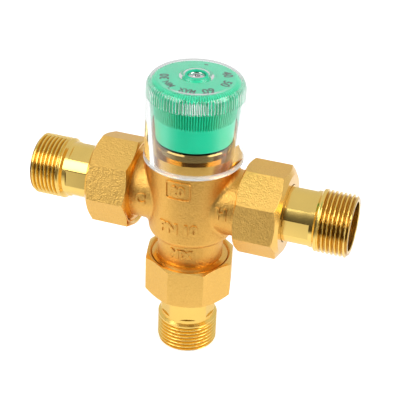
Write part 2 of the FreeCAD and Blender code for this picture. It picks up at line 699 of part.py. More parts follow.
def plunger_seat():
    return SLEEVE_BOTTOM + RETAINER_THICKNESS


def plunger_retainer():
    """The snap ring in the sleeve's mouth."""
    ring = tube(SPRING_POCKET_R, RETAINER_HOLE_R, SLEEVE_BOTTOM, plunger_seat())
    corner = FreeCAD.Vector(0, -RETAINER_GAP / 2, SLEEVE_BOTTOM)
    gap = Part.makeBox(SPRING_POCKET_R, RETAINER_GAP, RETAINER_THICKNESS, corner)
    return lifted(ring.cut(gap))


def overload_plunger():
    return lifted(revolved([
        (0, PLUNGER_NOSE_Z),
        (PLUNGER_NOSE_R, PLUNGER_NOSE_Z),
        (PLUNGER_NOSE_R, plunger_seat()),
        (PLUNGER_R, plunger_seat()),
        (PLUNGER_R, plunger_seat() + PLUNGER_FLANGE),
        (0, plunger_seat() + PLUNGER_FLANGE),
    ]))


def overload_spring():
    low = plunger_seat() + PLUNGER_FLANGE
    return lifted(coil_spring(OVERLOAD_COIL_R, OVERLOAD_WIRE_R, OVERLOAD_TURNS, low, SLEEVE_ROOF_Z))


def push_rod():
    return lifted(disc(ROD_R, ROD_BOTTOM, PLUNGER_NOSE_Z))


def shuttle():
    """The mixing piston: a sleeve with a spider that holds the wax element."""
    outer_r = SHUTTLE_BORE_R - SLIDING_GAP
    groove_r = SHUTTLE_BORE_R - SLIDING_GAP - 2 * SHUTTLE_RING_SECTION
    groove_half = SHUTTLE_RING_SECTION + 0.1
    sleeve = revolved([
        (SHUTTLE_INSIDE_R, SHUTTLE_BOTTOM),
        (outer_r, SHUTTLE_BOTTOM),
        (outer_r, -groove_half),
        (groove_r, -groove_half),
        (groove_r, groove_half),
        (outer_r, groove_half),
        (outer_r, SHUTTLE_TOP),
        (SHUTTLE_INSIDE_R, SHUTTLE_TOP),
    ])
    low, high = -SHUTTLE_HUB_HALF, SHUTTLE_HUB_HALF
    spider = spokes(SHUTTLE_SPOKES, SHUTTLE_SPOKE_WIDTH, SHUTTLE_INSIDE_R + 0.4, low, high)
    spider = spider.fuse(disc(SHUTTLE_HUB_R, low, high))
    spider = spider.cut(disc(ELEMENT_THREAD_R + THREAD_GAP, low, high))
    return lifted(sleeve.fuse(spider).removeSplitter())


def shuttle_oring():
    centre_r = SHUTTLE_BORE_R - SLIDING_GAP - SHUTTLE_RING_SECTION
    return lifted(ring_of_section(centre_r, SHUTTLE_RING_SECTION - SEAL_GAP, 0))


def wax_element():
    """The sealed thermostatic element: bulb, threaded waist, flange and rod guide."""
    tip = 2.0
    return lifted(revolved([
        (0, ELEMENT_BULB_BOTTOM),
        (ELEMENT_BULB_R - tip, ELEMENT_BULB_BOTTOM),
        (ELEMENT_BULB_R, ELEMENT_BULB_BOTTOM + tip),
        (ELEMENT_BULB_R, -SHUTTLE_HUB_HALF),
        (ELEMENT_THREAD_R, -SHUTTLE_HUB_HALF),
        (ELEMENT_THREAD_R, SHUTTLE_HUB_HALF),
        (ELEMENT_FLANGE_R, SHUTTLE_HUB_HALF),
        (ELEMENT_FLANGE_R, ELEMENT_FLANGE_TOP),
        (ELEMENT_GUIDE_R, ELEMENT_FLANGE_TOP),
        (ELEMENT_GUIDE_R, ELEMENT_GUIDE_TOP),
        (ROD_R + SLIDING_GAP, ELEMENT_GUIDE_TOP),
        (ROD_R + SLIDING_GAP, ELEMENT_BORE_BOTTOM),
        (0, ELEMENT_BORE_BOTTOM),
    ]))


def spring_guide():
    """The open spider in the outlet that the return spring stands on."""
    low, high = OUTLET_LEDGE_Z, OUTLET_LEDGE_Z + GUIDE_THICKNESS
    rim = tube(OUTLET_BORE_R - SLIDING_GAP, OUTLET_THROAT_R, low, high)
    arms = spokes(SHUTTLE_SPOKES, SHUTTLE_SPOKE_WIDTH, OUTLET_THROAT_R + 0.3, low, high)
    middle = disc(GUIDE_RING_R, low, high)
    return lifted(rim.multiFuse([arms, middle]).cut(disc(GUIDE_HOLE_R, low, high)).removeSplitter())


def return_spring():
    low = OUTLET_LEDGE_Z + GUIDE_THICKNESS
    return lifted(coil_spring(RETURN_COIL_R, RETURN_WIRE_R, RETURN_TURNS, low, -SHUTTLE_HUB_HALF))


def check_housing(port):
    """A moulded cartridge: seat at the pipe end, spider with a stem guide inside."""
    low = CARTRIDGE_FLOOR
    high = low + CHECK_LENGTH
    seat = high - CHECK_SEAT_THICKNESS
    shell = revolved([
        (CHECK_INSIDE_R, low),
        (CARTRIDGE_BORE_R - SLIDING_GAP, low),
        (CARTRIDGE_BORE_R - SLIDING_GAP, high),
        (CHECK_SEAT_HOLE_R, high),
        (CHECK_SEAT_HOLE_R, seat),
        (CHECK_INSIDE_R, seat),
    ])
    spider_top = CHECK_SPIDER_AT + CHECK_SPIDER_THICKNESS
    arms = spokes(SHUTTLE_SPOKES, CHECK_SPOKE_WIDTH, CHECK_INSIDE_R + 0.3, CHECK_SPIDER_AT, spider_top)
    hub = disc(CHECK_HUB_R + CHECK_WIRE_R + 1.0, CHECK_SPIDER_AT, spider_top)
    guide = disc(POPPET_STEM_R + SLIDING_GAP, CHECK_SPIDER_AT, spider_top)
    return at_port(shell.multiFuse([arms, hub]).cut(guide).removeSplitter(), port)


def poppet_back():
    """Distance from the barrel axis to the back of the closed poppet's head."""
    return CARTRIDGE_FLOOR + CHECK_LENGTH - CHECK_SEAT_THICKNESS - POPPET_GAP - POPPET_THICKNESS


def check_poppet(port):
    back = poppet_back()
    return at_port(revolved([
        (0, CHECK_SPIDER_AT - 0.2),
        (POPPET_STEM_R, CHECK_SPIDER_AT - 0.2),
        (POPPET_STEM_R, back),
        (POPPET_R, back),
        (POPPET_R, back + POPPET_THICKNESS),
        (0, back + POPPET_THICKNESS),
    ]), port)


def check_spring(port):
    low = CHECK_SPIDER_AT + CHECK_SPIDER_THICKNESS
    return at_port(coil_spring(CHECK_COIL_R, CHECK_WIRE_R, CHECK_TURNS, low, poppet_back()), port)


def strainer(port):
    """A slotted basket whose rim is held between the cartridge and the sealing washer."""
    rim_low = CARTRIDGE_FLOOR + CHECK_LENGTH
    face = port_face(port)
    end = face + STRAINER_DEPTH
    inner_r = STRAINER_BASKET_R - STRAINER_WALL
    basket = revolved([
        (inner_r, rim_low),
        (CARTRIDGE_BORE_R - SLIDING_GAP, rim_low),
        (CARTRIDGE_BORE_R - SLIDING_GAP, face),
        (STRAINER_BASKET_R, face),
        (STRAINER_BASKET_R, end),
        (0, end),
        (0, end - STRAINER_WALL),
        (inner_r, end - STRAINER_WALL),
    ])
    row = (end - STRAINER_WALL - face) / STRAINER_ROWS
    cuts = []
    for k in range(STRAINER_ROWS):
        low = face + k * row + 0.5
        slots = spokes(STRAINER_SLOTS, STRAINER_SLOT_WIDTH, STRAINER_BASKET_R + 1, low, low + row - 1.0)
        cuts.append(slots.cut(disc(inner_r - 0.5, low, low + row)))
    return at_port(basket.cut(cuts[0].multiFuse(cuts[1:])), port)


save(valve_body(), "valve_body")
save(bonnet(), "bonnet")
save(bonnet_oring(), "bonnet_oring")
save(spindle(), "spindle")
save(spindle_oring(), "spindle_oring")
save(thrust_washer(), "thrust_washer")
save(temperature_knob(), "temperature_knob")
save(knob_screw(), "knob_screw")
save(clear_cap(), "clear_cap")
save(adjusting_sleeve(), "adjusting_sleeve")
save(overload_plunger(), "overload_plunger")
save(overload_spring(), "overload_spring")
save(plunger_retainer(), "plunger_retainer")
save(push_rod(), "push_rod")
save(shuttle(), "shuttle")
save(shuttle_oring(), "shuttle_oring")
save(wax_element(), "wax_element")
save(return_spring(), "return_spring")
save(spring_guide(), "spring_guide")
for name in ("hot", "cold", "mixed"):
    save(union_nut(name), "union_nut_" + name)
    save(tailpiece(name), "tailpiece_" + name)
    save(sealing_washer(name), "sealing_washer_" + name)
for name in ("hot", "cold"):
    save(check_housing(name), "check_housing_" + name)
    save(check_poppet(name), "check_poppet_" + name)
    save(check_spring(name), "check_spring_" + name)
    save(strainer(name), "strainer_" + name)
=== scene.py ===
import json
import math

import bmesh
import bpy
from mathutils import Matrix, Vector
from mathutils.bvhtree import BVHTree
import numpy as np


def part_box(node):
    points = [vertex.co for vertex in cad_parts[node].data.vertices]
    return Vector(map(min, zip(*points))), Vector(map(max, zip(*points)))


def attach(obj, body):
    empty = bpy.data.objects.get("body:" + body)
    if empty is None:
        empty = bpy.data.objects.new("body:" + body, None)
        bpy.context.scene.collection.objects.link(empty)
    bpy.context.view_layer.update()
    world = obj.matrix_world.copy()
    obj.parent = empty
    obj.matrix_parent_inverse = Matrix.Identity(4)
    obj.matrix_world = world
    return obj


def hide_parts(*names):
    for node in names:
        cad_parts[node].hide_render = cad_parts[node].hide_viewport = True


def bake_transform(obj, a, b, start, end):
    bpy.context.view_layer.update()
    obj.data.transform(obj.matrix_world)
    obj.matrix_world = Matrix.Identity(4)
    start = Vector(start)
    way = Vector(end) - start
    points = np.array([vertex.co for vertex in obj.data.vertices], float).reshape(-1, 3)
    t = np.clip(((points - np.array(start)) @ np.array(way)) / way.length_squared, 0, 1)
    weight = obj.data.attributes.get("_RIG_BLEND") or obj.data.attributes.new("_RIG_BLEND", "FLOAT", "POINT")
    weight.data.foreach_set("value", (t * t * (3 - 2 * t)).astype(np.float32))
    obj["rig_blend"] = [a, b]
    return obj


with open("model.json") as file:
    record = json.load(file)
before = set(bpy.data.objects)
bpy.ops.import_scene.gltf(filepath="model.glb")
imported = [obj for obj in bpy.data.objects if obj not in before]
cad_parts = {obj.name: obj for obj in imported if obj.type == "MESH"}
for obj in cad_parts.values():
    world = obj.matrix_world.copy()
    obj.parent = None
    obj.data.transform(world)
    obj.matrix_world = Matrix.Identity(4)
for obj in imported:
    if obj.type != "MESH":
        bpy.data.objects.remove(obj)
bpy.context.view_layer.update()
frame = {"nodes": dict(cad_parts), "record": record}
MM = 0.001

# ---------------------------------------------------------------------------------------
# The table and the light.  A pale table in a white room, with a large soft lamp to the
# left of the valve and a stronger one to the right.
# ---------------------------------------------------------------------------------------
scene = bpy.context.scene
scene.view_settings.view_transform = "Standard"


def put(tree, kind, *feeds, **settings):
    """Adds a node, sets its properties, and feeds its inputs in order with sockets or values."""
    made = tree.nodes.new(kind)
    for key, value in settings.items():
        setattr(made, key, value)
    for socket, feed in zip(made.inputs, feeds):
        if isinstance(feed, bpy.types.NodeSocket):
            tree.links.new(feed, socket)
        elif feed is not None:
            socket.default_value = feed
    return made


def sum_of(tree, operation, *feeds, clamp=False):
    """The result of one Math node."""
    return put(tree, "ShaderNodeMath", *feeds, operation=operation, use_clamp=clamp).outputs[0]


def ramp(tree, value, start, end):
    """0 before start and 1 after end, smoothly."""
    made = put(tree, "ShaderNodeMapRange", value, start, end, 0.0, 1.0, interpolation_type="SMOOTHSTEP")
    return made.outputs[0]


def fresh_material(name):
    """A new material, its tree with no nodes, and the coordinates that its patterns use."""
    made = bpy.data.materials.new(name)
    made.use_nodes = True
    made.node_tree.nodes.clear()
    return made, made.node_tree, put(made.node_tree, "ShaderNodeTexCoord").outputs["Object"]


ROOM_DIM_SIDE = Vector((0.29, -0.95, 0.05)).normalized()
ROOM_DIM_EDGE = (0.45, 0.93)           # cosines from that side where the dimming starts and ends
ROOM_LEVEL = 0.75
ROOM_DIM_LEVEL = 0.08
ROOM_SOFT_SHARE = 0.62                 # what is left of it where nothing shiny mirrors it


def white_room():
    """White wherever the camera or clear plastic looks, softer for everything else, and
    dim on the side that the valve's front faces, so that metal has something dark to show."""
    room = bpy.data.worlds.new("white_room")
    room.use_nodes = True
    tree = room.node_tree
    tree.nodes.clear()
    way = put(tree, "ShaderNodeTexCoord").outputs["Generated"]
    ray = put(tree, "ShaderNodeLightPath").outputs
    bounced = sum_of(tree, "ADD", ray["Diffuse Depth"], ray["Glossy Depth"])
    through = sum_of(tree, "MULTIPLY", ray["Is Transmission Ray"], sum_of(tree, "LESS_THAN", bounced, 0.5))
    seen = sum_of(tree, "MAXIMUM", ray["Is Camera Ray"], through)
    toward = put(tree, "ShaderNodeVectorMath", way, ROOM_DIM_SIDE, operation="DOT_PRODUCT").outputs["Value"]
    dim = put(tree, "ShaderNodeMapRange", toward, *ROOM_DIM_EDGE, ROOM_LEVEL, ROOM_DIM_LEVEL,
              interpolation_type="SMOOTHSTEP").outputs[0]
    soft = put(tree, "ShaderNodeMapRange", ray["Glossy Depth"], 0.0, 1.0, ROOM_SOFT_SHARE, 1.0).outputs[0]
    level = put(tree, "ShaderNodeMix", seen, None, sum_of(tree, "MULTIPLY", dim, soft), 1.0).outputs[0]
    back = put(tree, "ShaderNodeBackground", (1.0, 1.0, 1.0, 1.0), level).outputs[0]
    put(tree, "ShaderNodeOutputWorld", back)
    return room


scene.world = white_room()

TABLE_HALF_WIDTH = 3.0
TABLE_GLOW = 0.60
TABLE_GLOW_REFLECTED = 0.15
TABLE_DIM_SIDE = (0.29, -0.957, 0.0)
TABLE_DIM_EDGE = (0.45, 0.90)
TABLE_SHADE = (0.10, 0.20)             # distances where the shade starts and is full


def table_top():
    """White paint that glows to the eye and keeps a shadow.  In reflections it falls into
    shade in front of the valve, as a small table does under side lamps."""
    made, tree, place = fresh_material("table_white")
    ray = put(tree, "ShaderNodeLightPath").outputs
    seen = sum_of(tree, "MAXIMUM", ray["Is Camera Ray"], ray["Is Transmission Ray"])
    glow = sum_of(tree, "MAXIMUM", sum_of(tree, "MULTIPLY", seen, TABLE_GLOW),
                  sum_of(tree, "MULTIPLY", ray["Is Glossy Ray"], TABLE_GLOW_REFLECTED))
    paint = put(tree, "ShaderNodeBsdfDiffuse", (0.88, 0.88, 0.88, 1.0)).outputs[0]
    shine = put(tree, "ShaderNodeEmission", (1.0, 1.0, 1.0, 1.0), glow).outputs[0]
    both = put(tree, "ShaderNodeAddShader", paint, shine).outputs[0]
    away = put(tree, "ShaderNodeVectorMath", place, operation="LENGTH").outputs["Value"]
    way = put(tree, "ShaderNodeVectorMath", place, operation="NORMALIZE").outputs[0]
    front = put(tree, "ShaderNodeVectorMath", way, TABLE_DIM_SIDE, operation="DOT_PRODUCT").outputs["Value"]
    side = ramp(tree, front, *TABLE_DIM_EDGE)
    far = ramp(tree, away, *TABLE_SHADE)
    mirrored = sum_of(tree, "MINIMUM", ray["Glossy Depth"], 1.0)
    shade = sum_of(tree, "MULTIPLY", sum_of(tree, "MULTIPLY", side, far), mirrored)
    dusk = put(tree, "ShaderNodeBsdfDiffuse", (0.06, 0.05, 0.04, 1.0)).outputs[0]
    put(tree, "ShaderNodeOutputMaterial", put(tree, "ShaderNodeMixShader", shade, both, dusk).outputs[0])
    return made


def table():
    w = TABLE_HALF_WIDTH
    mesh = bpy.data.meshes.new("table")
    mesh.from_pydata([(-w, -w, 0), (w, -w, 0), (w, w, 0), (-w, w, 0)], [], [(0, 1, 2, 3)])
    mesh.materials.append(table_top())
    made = bpy.data.objects.new("table", mesh)
    scene.collection.objects.link(made)


table()


LAMP_DISTANCE = 0.9
LAMP_SIZE = 0.55
LAMP_AIM_HEIGHT = 0.07


def soft_lamp(name, azimuth, elevation, power):
    """A square lamp aimed at the valve; azimuth 0 is in front, 90 on the hot side."""
    lamp = bpy.data.lights.new(name, "AREA")
    lamp.size = LAMP_SIZE
    lamp.energy = power
    made = bpy.data.objects.new(name, lamp)
    a, e = math.radians(azimuth), math.radians(elevation)
    away = Vector((math.sin(a) * math.cos(e), -math.cos(a) * math.cos(e), math.sin(e)))
    made.location = Vector((0, 0, LAMP_AIM_HEIGHT)) + away * LAMP_DISTANCE
    made.rotation_mode = "QUATERNION"
    made.rotation_quaternion = away.to_track_quat("Z", "Y")
    scene.collection.objects.link(made)


soft_lamp("left_lamp", -38, 38, 3.4)
soft_lamp("right_lamp", 80, 32, 4.4)

# ---------------------------------------------------------------------------------------
# The camera, above and a little to the right of the front of the valve.
# ---------------------------------------------------------------------------------------
CAMERA_AZIMUTH = math.radians(17.56)
CAMERA_ELEVATION = math.radians(31.45)
CAMERA_ROLL = math.radians(2.46)
CAMERA_DISTANCE = 0.48237
CAMERA_FOCUS = 2.8416                  # focal length in frame widths
CAMERA_AIM = (-0.0069415, -0.0060705)  # how far it looks past the arms' middle, in focal lengths
SENSOR_WIDTH = 36.0

arm_axis_height = sum(corner[2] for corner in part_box("tailpiece_hot")) / 2


def make_camera():
    ca, sa = math.cos(CAMERA_AZIMUTH), math.sin(CAMERA_AZIMUTH)
    ce, se = math.cos(CAMERA_ELEVATION), math.sin(CAMERA_ELEVATION)
    back = Vector((sa * ce, -ca * ce, se))
    right = Vector((ca, sa, 0))
    up = back.cross(right)
    cr, sr = math.cos(CAMERA_ROLL), math.sin(CAMERA_ROLL)
    across = right * cr + up * sr
    upward = up * cr - right * sr
    sight = (-back + across * CAMERA_AIM[0] - upward * CAMERA_AIM[1]).normalized()
    lens = bpy.data.cameras.new("camera")
    lens.sensor_width = SENSOR_WIDTH
    lens.lens = SENSOR_WIDTH * CAMERA_FOCUS
    lens.clip_start = 0.01
    made = bpy.data.objects.new("camera", lens)
    turn = Matrix((across, upward, back)).transposed()
    place = Vector((0, 0, arm_axis_height)) - sight * CAMERA_DISTANCE
    made.matrix_world = Matrix.Translation(place) @ turn.to_4x4()
    scene.collection.objects.link(made)
    scene.camera = made


make_camera()

# ---------------------------------------------------------------------------------------
# The body.  Hot-stamped brass, blasted to a fine sandy satin all over; the top, the port
# ends and the union threads are turned afterwards.
# ---------------------------------------------------------------------------------------


def principled(tree, colour, roughness, metallic=0.0, normal=None, **constants):
    """A Principled shader into the output.  Colour and roughness may be sockets."""
    made = put(tree, "ShaderNodeBsdfPrincipled")
    named = {"Base Color": colour, "Roughness": roughness, "Metallic": metallic, "Normal": normal}
    named.update({key.replace("_", " "): value for key, value in constants.items()})
    for name, feed in named.items():
        if isinstance(feed, bpy.types.NodeSocket):
            tree.links.new(feed, made.inputs[name])
        elif feed is not None:
            made.inputs[name].default_value = feed
    put(tree, "ShaderNodeOutputMaterial", made.outputs[0])
    return made


def noise(tree, place, scale, detail, roughness):
    return put(tree, "ShaderNodeTexNoise", place, None, scale, detail, roughness).outputs[0]


def two_tones(tree, share, first, second):
    """A colour that goes from first to second as share goes from 0 to 1."""
    tone = put(tree, "ShaderNodeMix", data_type="RGBA")
    tree.links.new(share, tone.inputs["Factor"])
    tone.inputs[6].default_value = (*first, 1.0)
    tone.inputs[7].default_value = (*second, 1.0)
    return tone.outputs[2]


def spread(tree, share, low, high):
    """Takes the middle of a noise to the range from low to high."""
    return put(tree, "ShaderNodeMapRange", share, 0.3, 0.7, low, high).outputs[0]


def bumped(tree, height, strength, depth):
    bump = put(tree, "ShaderNodeBump", strength, depth)
    tree.links.new(height, bump.inputs["Height"])
    return bump.outputs[0]


TURNED_ROUGHNESS = 0.22
PORT_COLLAR = 8.9 * MM                 # threaded length of each port
BARREL_LEDGE = 18.0 * MM               # turned ledge over the arm axis that the cap sits on


def blasted_brass(name, pale, dark, roughness, grain, depth):
    """Brass with a sandy grain of the given size: pale and dark tones in slow
    clouds, and a fine bump from two sizes of grain.  Faces marked "turned" are polished."""
    made, tree, place = fresh_material(name)
    cloud = noise(tree, place, 90.0, 3.0, 0.6)
    fine = noise(tree, place, 1.0 / grain, 2.0, 0.6)
    coarse = noise(tree, place, 0.35 / grain, 2.0, 0.5)
    speckle = put(tree, "ShaderNodeMapRange", fine, 0.35, 0.65, 0.0, 1.0).outputs[0]
    blend = sum_of(tree, "ADD", sum_of(tree, "MULTIPLY", cloud, 0.6),
                   sum_of(tree, "MULTIPLY", speckle, 0.35), clamp=True)
    turned = put(tree, "ShaderNodeAttribute", attribute_name="turned").outputs["Fac"]
    sheen = spread(tree, cloud, roughness - 0.05, roughness + 0.06)
    sheen = put(tree, "ShaderNodeMix", turned, None, sheen, TURNED_ROUGHNESS).outputs[0]
    height = sum_of(tree, "ADD", fine, sum_of(tree, "MULTIPLY", coarse, 0.8))
    height = sum_of(tree, "MULTIPLY", height, sum_of(tree, "SUBTRACT", 1.0, turned))
    principled(tree, two_tones(tree, blend, dark, pale), sheen, 1.0, bumped(tree, height, 1.0, depth))
    return made


def mark_turned(mesh, is_turned):
    """Marks the faces that a lathe has cut, by a test of their middle and normal."""
    flag = mesh.attributes.new("turned", "FLOAT", "FACE")
    for face in mesh.polygons:
        flag.data[face.index].value = 1.0 if is_turned(face.center, face.normal) else 0.0


body_brass = blasted_brass("body_brass", (0.94, 0.57, 0.15), (0.74, 0.39, 0.075), 0.40, 0.60 * MM, 0.19 * MM)


def lay_smooth(mesh, sharp_degrees):
    """Smooth shading with crisp corners."""
    mesh.shade_smooth()
    mesh.set_sharp_from_angle(angle=math.radians(sharp_degrees))


def dressed(node, name, material, body, sharp_degrees=30, flatten=False):
    """A smooth copy of a solid, with its triangles joined, that stands for it."""
    mesh = frame["nodes"][node].data.copy()
    mesh.name = name
    shell = bmesh.new()
    shell.from_mesh(mesh)
    bmesh.ops.remove_doubles(shell, verts=shell.verts, dist=1e-6)
    if flatten:
        bmesh.ops.dissolve_limit(shell, angle_limit=math.radians(0.4), verts=shell.verts,
                                 edges=shell.edges, delimit={"NORMAL"})
    shell.to_mesh(mesh)
    shell.free()
    mesh.materials.clear()
    mesh.materials.append(material)
    for old in list(mesh.attributes):
        if old.name == "custom_normal":
            mesh.attributes.remove(old)
    lay_smooth(mesh, sharp_degrees)
    made = bpy.data.objects.new(name, mesh)
    scene.collection.objects.link(made)
    if body:
        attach(made, body)
    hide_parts(node)
    return made


body = dressed("valve_body", "body", body_brass, "housing")
side_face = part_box("valve_body")[1][0]
outlet_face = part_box("valve_body")[0][2]
mark_turned(body.data, lambda middle, normal: abs(middle.x) > side_face - PORT_COLLAR - 0.1 * MM
            or middle.z < outlet_face + PORT_COLLAR + 0.1 * MM
            or middle.z > arm_axis_height + BARREL_LEDGE - 0.2 * MM)
body.modifiers.new("even_shading", "WEIGHTED_NORMAL").keep_sharp = True

# ---------------------------------------------------------------------------------------
# The marks cast on the body: C and H on the arms, MIX over the outlet, and the pipe size
# in a frame and the pressure class on the barrel.  They stand 0.55 mm proud with rounded
# edges.
# ---------------------------------------------------------------------------------------
MARK_RISE = 0.55 * MM
MARK_ROOT = 0.40 * MM
MARK_ROUNDING = 0.22 * MM
MARK_WEIGHT = 0.030                    # how far the strokes are thickened, in letter sizes
ARM_RADIUS = 14.15 * MM
BARREL_RADIUS = 19.15 * MM
BARREL_FOOT_RADIUS = 18.5 * MM
OUTSIDE = 60.0 * MM                    # clear of the body round any of its axes
skin = BVHTree.FromPolygons([v.co for v in body.data.vertices], [f.vertices for f in body.data.polygons])


def as_mesh(made):
    """The shape of a piece after its modifiers, as a plain mesh."""
    bpy.context.view_layer.update()
    return bpy.data.meshes.new_from_object(made.evaluated_get(bpy.context.evaluated_depsgraph_get()))


def face_outward(mesh, join=0.0):
    """Joins points closer than join, and turns every face outwards."""
    shell = bmesh.new()
    shell.from_mesh(mesh)
    if join:
        bmesh.ops.remove_doubles(shell, verts=shell.verts, dist=join)
    bmesh.ops.recalc_face_normals(shell, faces=shell.faces)
    shell.to_mesh(mesh)
    shell.free()


def letter_mesh(words, height, thickness, rounding, weight):
    """Words as a closed mesh of the given height, centred, lying in XY and thick along Z."""
    curve = bpy.data.curves.new(words, "FONT")
    curve.body = words
    curve.align_x = "CENTER"
    curve.size = 1.0
    curve.resolution_u = 6
    curve.offset = weight
    draft = bpy.data.objects.new(words, curve)
    scene.collection.objects.link(draft)
    rough = as_mesh(draft)
    low = min(v.co.y for v in rough.vertices)
    high = max(v.co.y for v in rough.vertices)
    curve.size = height / (high - low)
    curve.extrude = thickness / 2 - rounding
    curve.bevel_depth = rounding
    curve.bevel_resolution = 2
    curve.offset = weight * curve.size
    mesh = as_mesh(draft)
    reach = [[v.co[i] for v in mesh.vertices] for i in (0, 1, 2)]
    mesh.transform(Matrix.Translation([-(min(r) + max(r)) / 2 for r in reach]))
    bpy.data.objects.remove(draft)
    face_outward(mesh, 1e-7)
    return mesh


def frame_mesh(half_width, half_height, corner, bar):
    """A closed bar round a rectangle with rounded corners, lying in XY and thick along Z."""
    high = (MARK_RISE + MARK_ROOT) / 2
    section = [(-bar / 2, -high), (bar / 2, -high), (bar / 2, high - bar / 3), (bar / 4, high),
               (-bar / 4, high), (-bar / 2, high - bar / 3)]
    bends = []
    for k, (right, top) in enumerate(((1, 1), (-1, 1), (-1, -1), (1, -1))):
        centre = Vector((right * (half_width - corner), top * (half_height - corner), 0))
        turns = [math.radians(90 * k + 15 * step) for step in range(7)]
        bends.append([(centre + Vector((math.cos(a), math.sin(a), 0)) * corner, a) for a in turns])
    path = []
    for k, bend in enumerate(bends):
        start, angle = bend[-1]
        path += bend + [(start.lerp(bends[(k + 1) % 4][0][0], step / 9), angle) for step in range(1, 9)]
    points = [place + Vector((math.cos(a), math.sin(a), 0)) * across + Vector((0, 0, z))
              for place, a in path for across, z in section]
    n, m = len(path), len(section)
    faces = [(i * m + j, (i + 1) % n * m + j, (i + 1) % n * m + (j + 1) % m, i * m + (j + 1) % m)
             for i in range(n) for j in range(m)]
    mesh = bpy.data.meshes.new("frame")
    mesh.from_pydata(points, [], faces)
    face_outward(mesh)
    return mesh


def cast_mark(name, mesh, wrap):
    """A raised mark, each point laid on the body by wrap(across, up, out)."""
    for v in mesh.vertices:
        across, up, out = v.co
        v.co = wrap(across, up, out + (MARK_RISE - MARK_ROOT) / 2)
    mesh.materials.clear()
    mesh.materials.append(body_brass)
    lay_smooth(mesh, 50)
    made = bpy.data.objects.new(name, mesh)
    scene.collection.objects.link(made)
    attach(made, "housing")


def on_skin(axis_point, away, out):
    """The point that stands out from the body's own surface, looking at its axis."""
    met = skin.ray_cast(axis_point + away * OUTSIDE, -away)[0]
    return met + away * out


def round_upright(radius, degrees, height):
    """Lays letters round the barrel or the outlet, centred at an angle from +X."""
    def wrap(across, up, out):
        angle = math.radians(degrees) + across / radius
        away = Vector((math.cos(angle), math.sin(angle), 0))
        return on_skin(Vector((0, 0, height + up)), away, out)
    return wrap


def round_arm(radius, x, height):
    """Lays letters round the front of an arm, whose axis is X."""
    def wrap(across, up, out):
        angle = (height + up) / radius
        away = Vector((0, -math.cos(angle), math.sin(angle)))
        return on_skin(Vector((x + across, 0, arm_axis_height)), away, out)
    return wrap


def cast_words(name, words, height, wrap):
    thickness = MARK_RISE + MARK_ROOT
    cast_mark(name, letter_mesh(words, height, thickness, MARK_ROUNDING, MARK_WEIGHT), wrap)


cast_words("mark_cold", "C", 4.8 * MM, round_arm(ARM_RADIUS, -18.2 * MM, 1.0 * MM))
cast_words("mark_hot", "H", 4.8 * MM, round_arm(ARM_RADIUS, 17.3 * MM, 1.6 * MM))
over_outlet = round_upright(ARM_RADIUS, -87, arm_axis_height - 22.5 * MM)
cast_words("mark_outlet", "MIX", 3.9 * MM, over_outlet)
on_barrel = round_upright(BARREL_RADIUS, -90, arm_axis_height + 11.4 * MM)
cast_words("mark_size", "20", 4.4 * MM, on_barrel)
cast_mark("mark_frame", frame_mesh(5.2 * MM, 4.0 * MM, 1.0 * MM, 0.7 * MM), on_barrel)
low_on_barrel = round_upright(BARREL_FOOT_RADIUS, -89, arm_axis_height - 7.3 * MM)
cast_words("mark_pressure", "PN 10", 5.0 * MM, low_on_barrel)

# ---------------------------------------------------------------------------------------
# The union nuts.  Eight-sided brass nuts stamped and blasted like the body, with their
# inner mouths chamfered bright on a lathe.  Each draws its tail against the body.
# ---------------------------------------------------------------------------------------
nut_brass = blasted_brass("nut_brass", (0.97, 0.63, 0.18), (0.80, 0.46, 0.10), 0.45, 0.60 * MM, 0.24 * MM)
NUT_EDGE = 0.3 * MM


def union_nut(port):
    made = dressed("union_nut_" + port, "nut_" + port, nut_brass, "housing", 20, flatten=True)
    along = 2 if port == "mixed" else 0
    mark_turned(made.data, lambda middle, normal: abs(normal[along]) > 0.15)
    edge = made.modifiers.new("worn_edges", "BEVEL")
    edge.width = NUT_EDGE
    edge.segments = 2
    edge.limit_method = "ANGLE"
    edge.angle_limit = math.radians(25)
    edge.harden_normals = True


for port in ("hot", "cold", "mixed"):
    union_nut(port)

# ---------------------------------------------------------------------------------------
# The tails.  Turned from bar and left bright: a flange inside the nut, a neck with six
# spanner flats, and a pipe thread of seven turns.
# ---------------------------------------------------------------------------------------
THREAD_PITCH = 1.814 * MM
THREAD_CREST = 13.2205 * MM
THREAD_ROOT = 12.0585 * MM
THREAD_LENGTH = 13.8 * MM
THREAD_ROWS = 112                      # rings of points along the thread
THREAD_TIP = 0.9 * MM                  # length of the tip's chamfer
TAIL_SIDES = 192
TAIL_NECK = 11.98 * MM
TAIL_BORE = 10.4 * MM
TAIL_FLANGE = 16.1 * MM
TAIL_FLANGE_THICKNESS = 3.0 * MM
FLATS_ACROSS = 22.8 * MM
FLATS_START = 16.4 * MM
FLAT_COUNT = 6
NUT_OUTER_TO_END = 27.6 * MM
NUT_WALL = 5.5 * MM
TAIL_END = {"hot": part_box("tailpiece_hot")[1][0], "cold": -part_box("tailpiece_cold")[0][0],
            "mixed": arm_axis_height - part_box("tailpiece_mixed")[0][2]}
# Painted shade for the thread valleys: the colour that the brass is multiplied towards there.
THREAD_VALLEY_SHADE = (0.58, 0.44, 0.26)
RING_SCALE = 9000.0                    # tool rings along the axis
HAZE_SCALE = 60.0                      # and the slow change across it
FLATS_TURN = {"hot": 30.0, "cold": 37.5, "mixed": 11.0}
TURNS = {"hot": Matrix.Rotation(math.radians(90), 4, "Y"),
         "cold": Matrix.Rotation(math.radians(-90), 4, "Y"),
         "mixed": Matrix.Rotation(math.radians(180), 4, "X")}


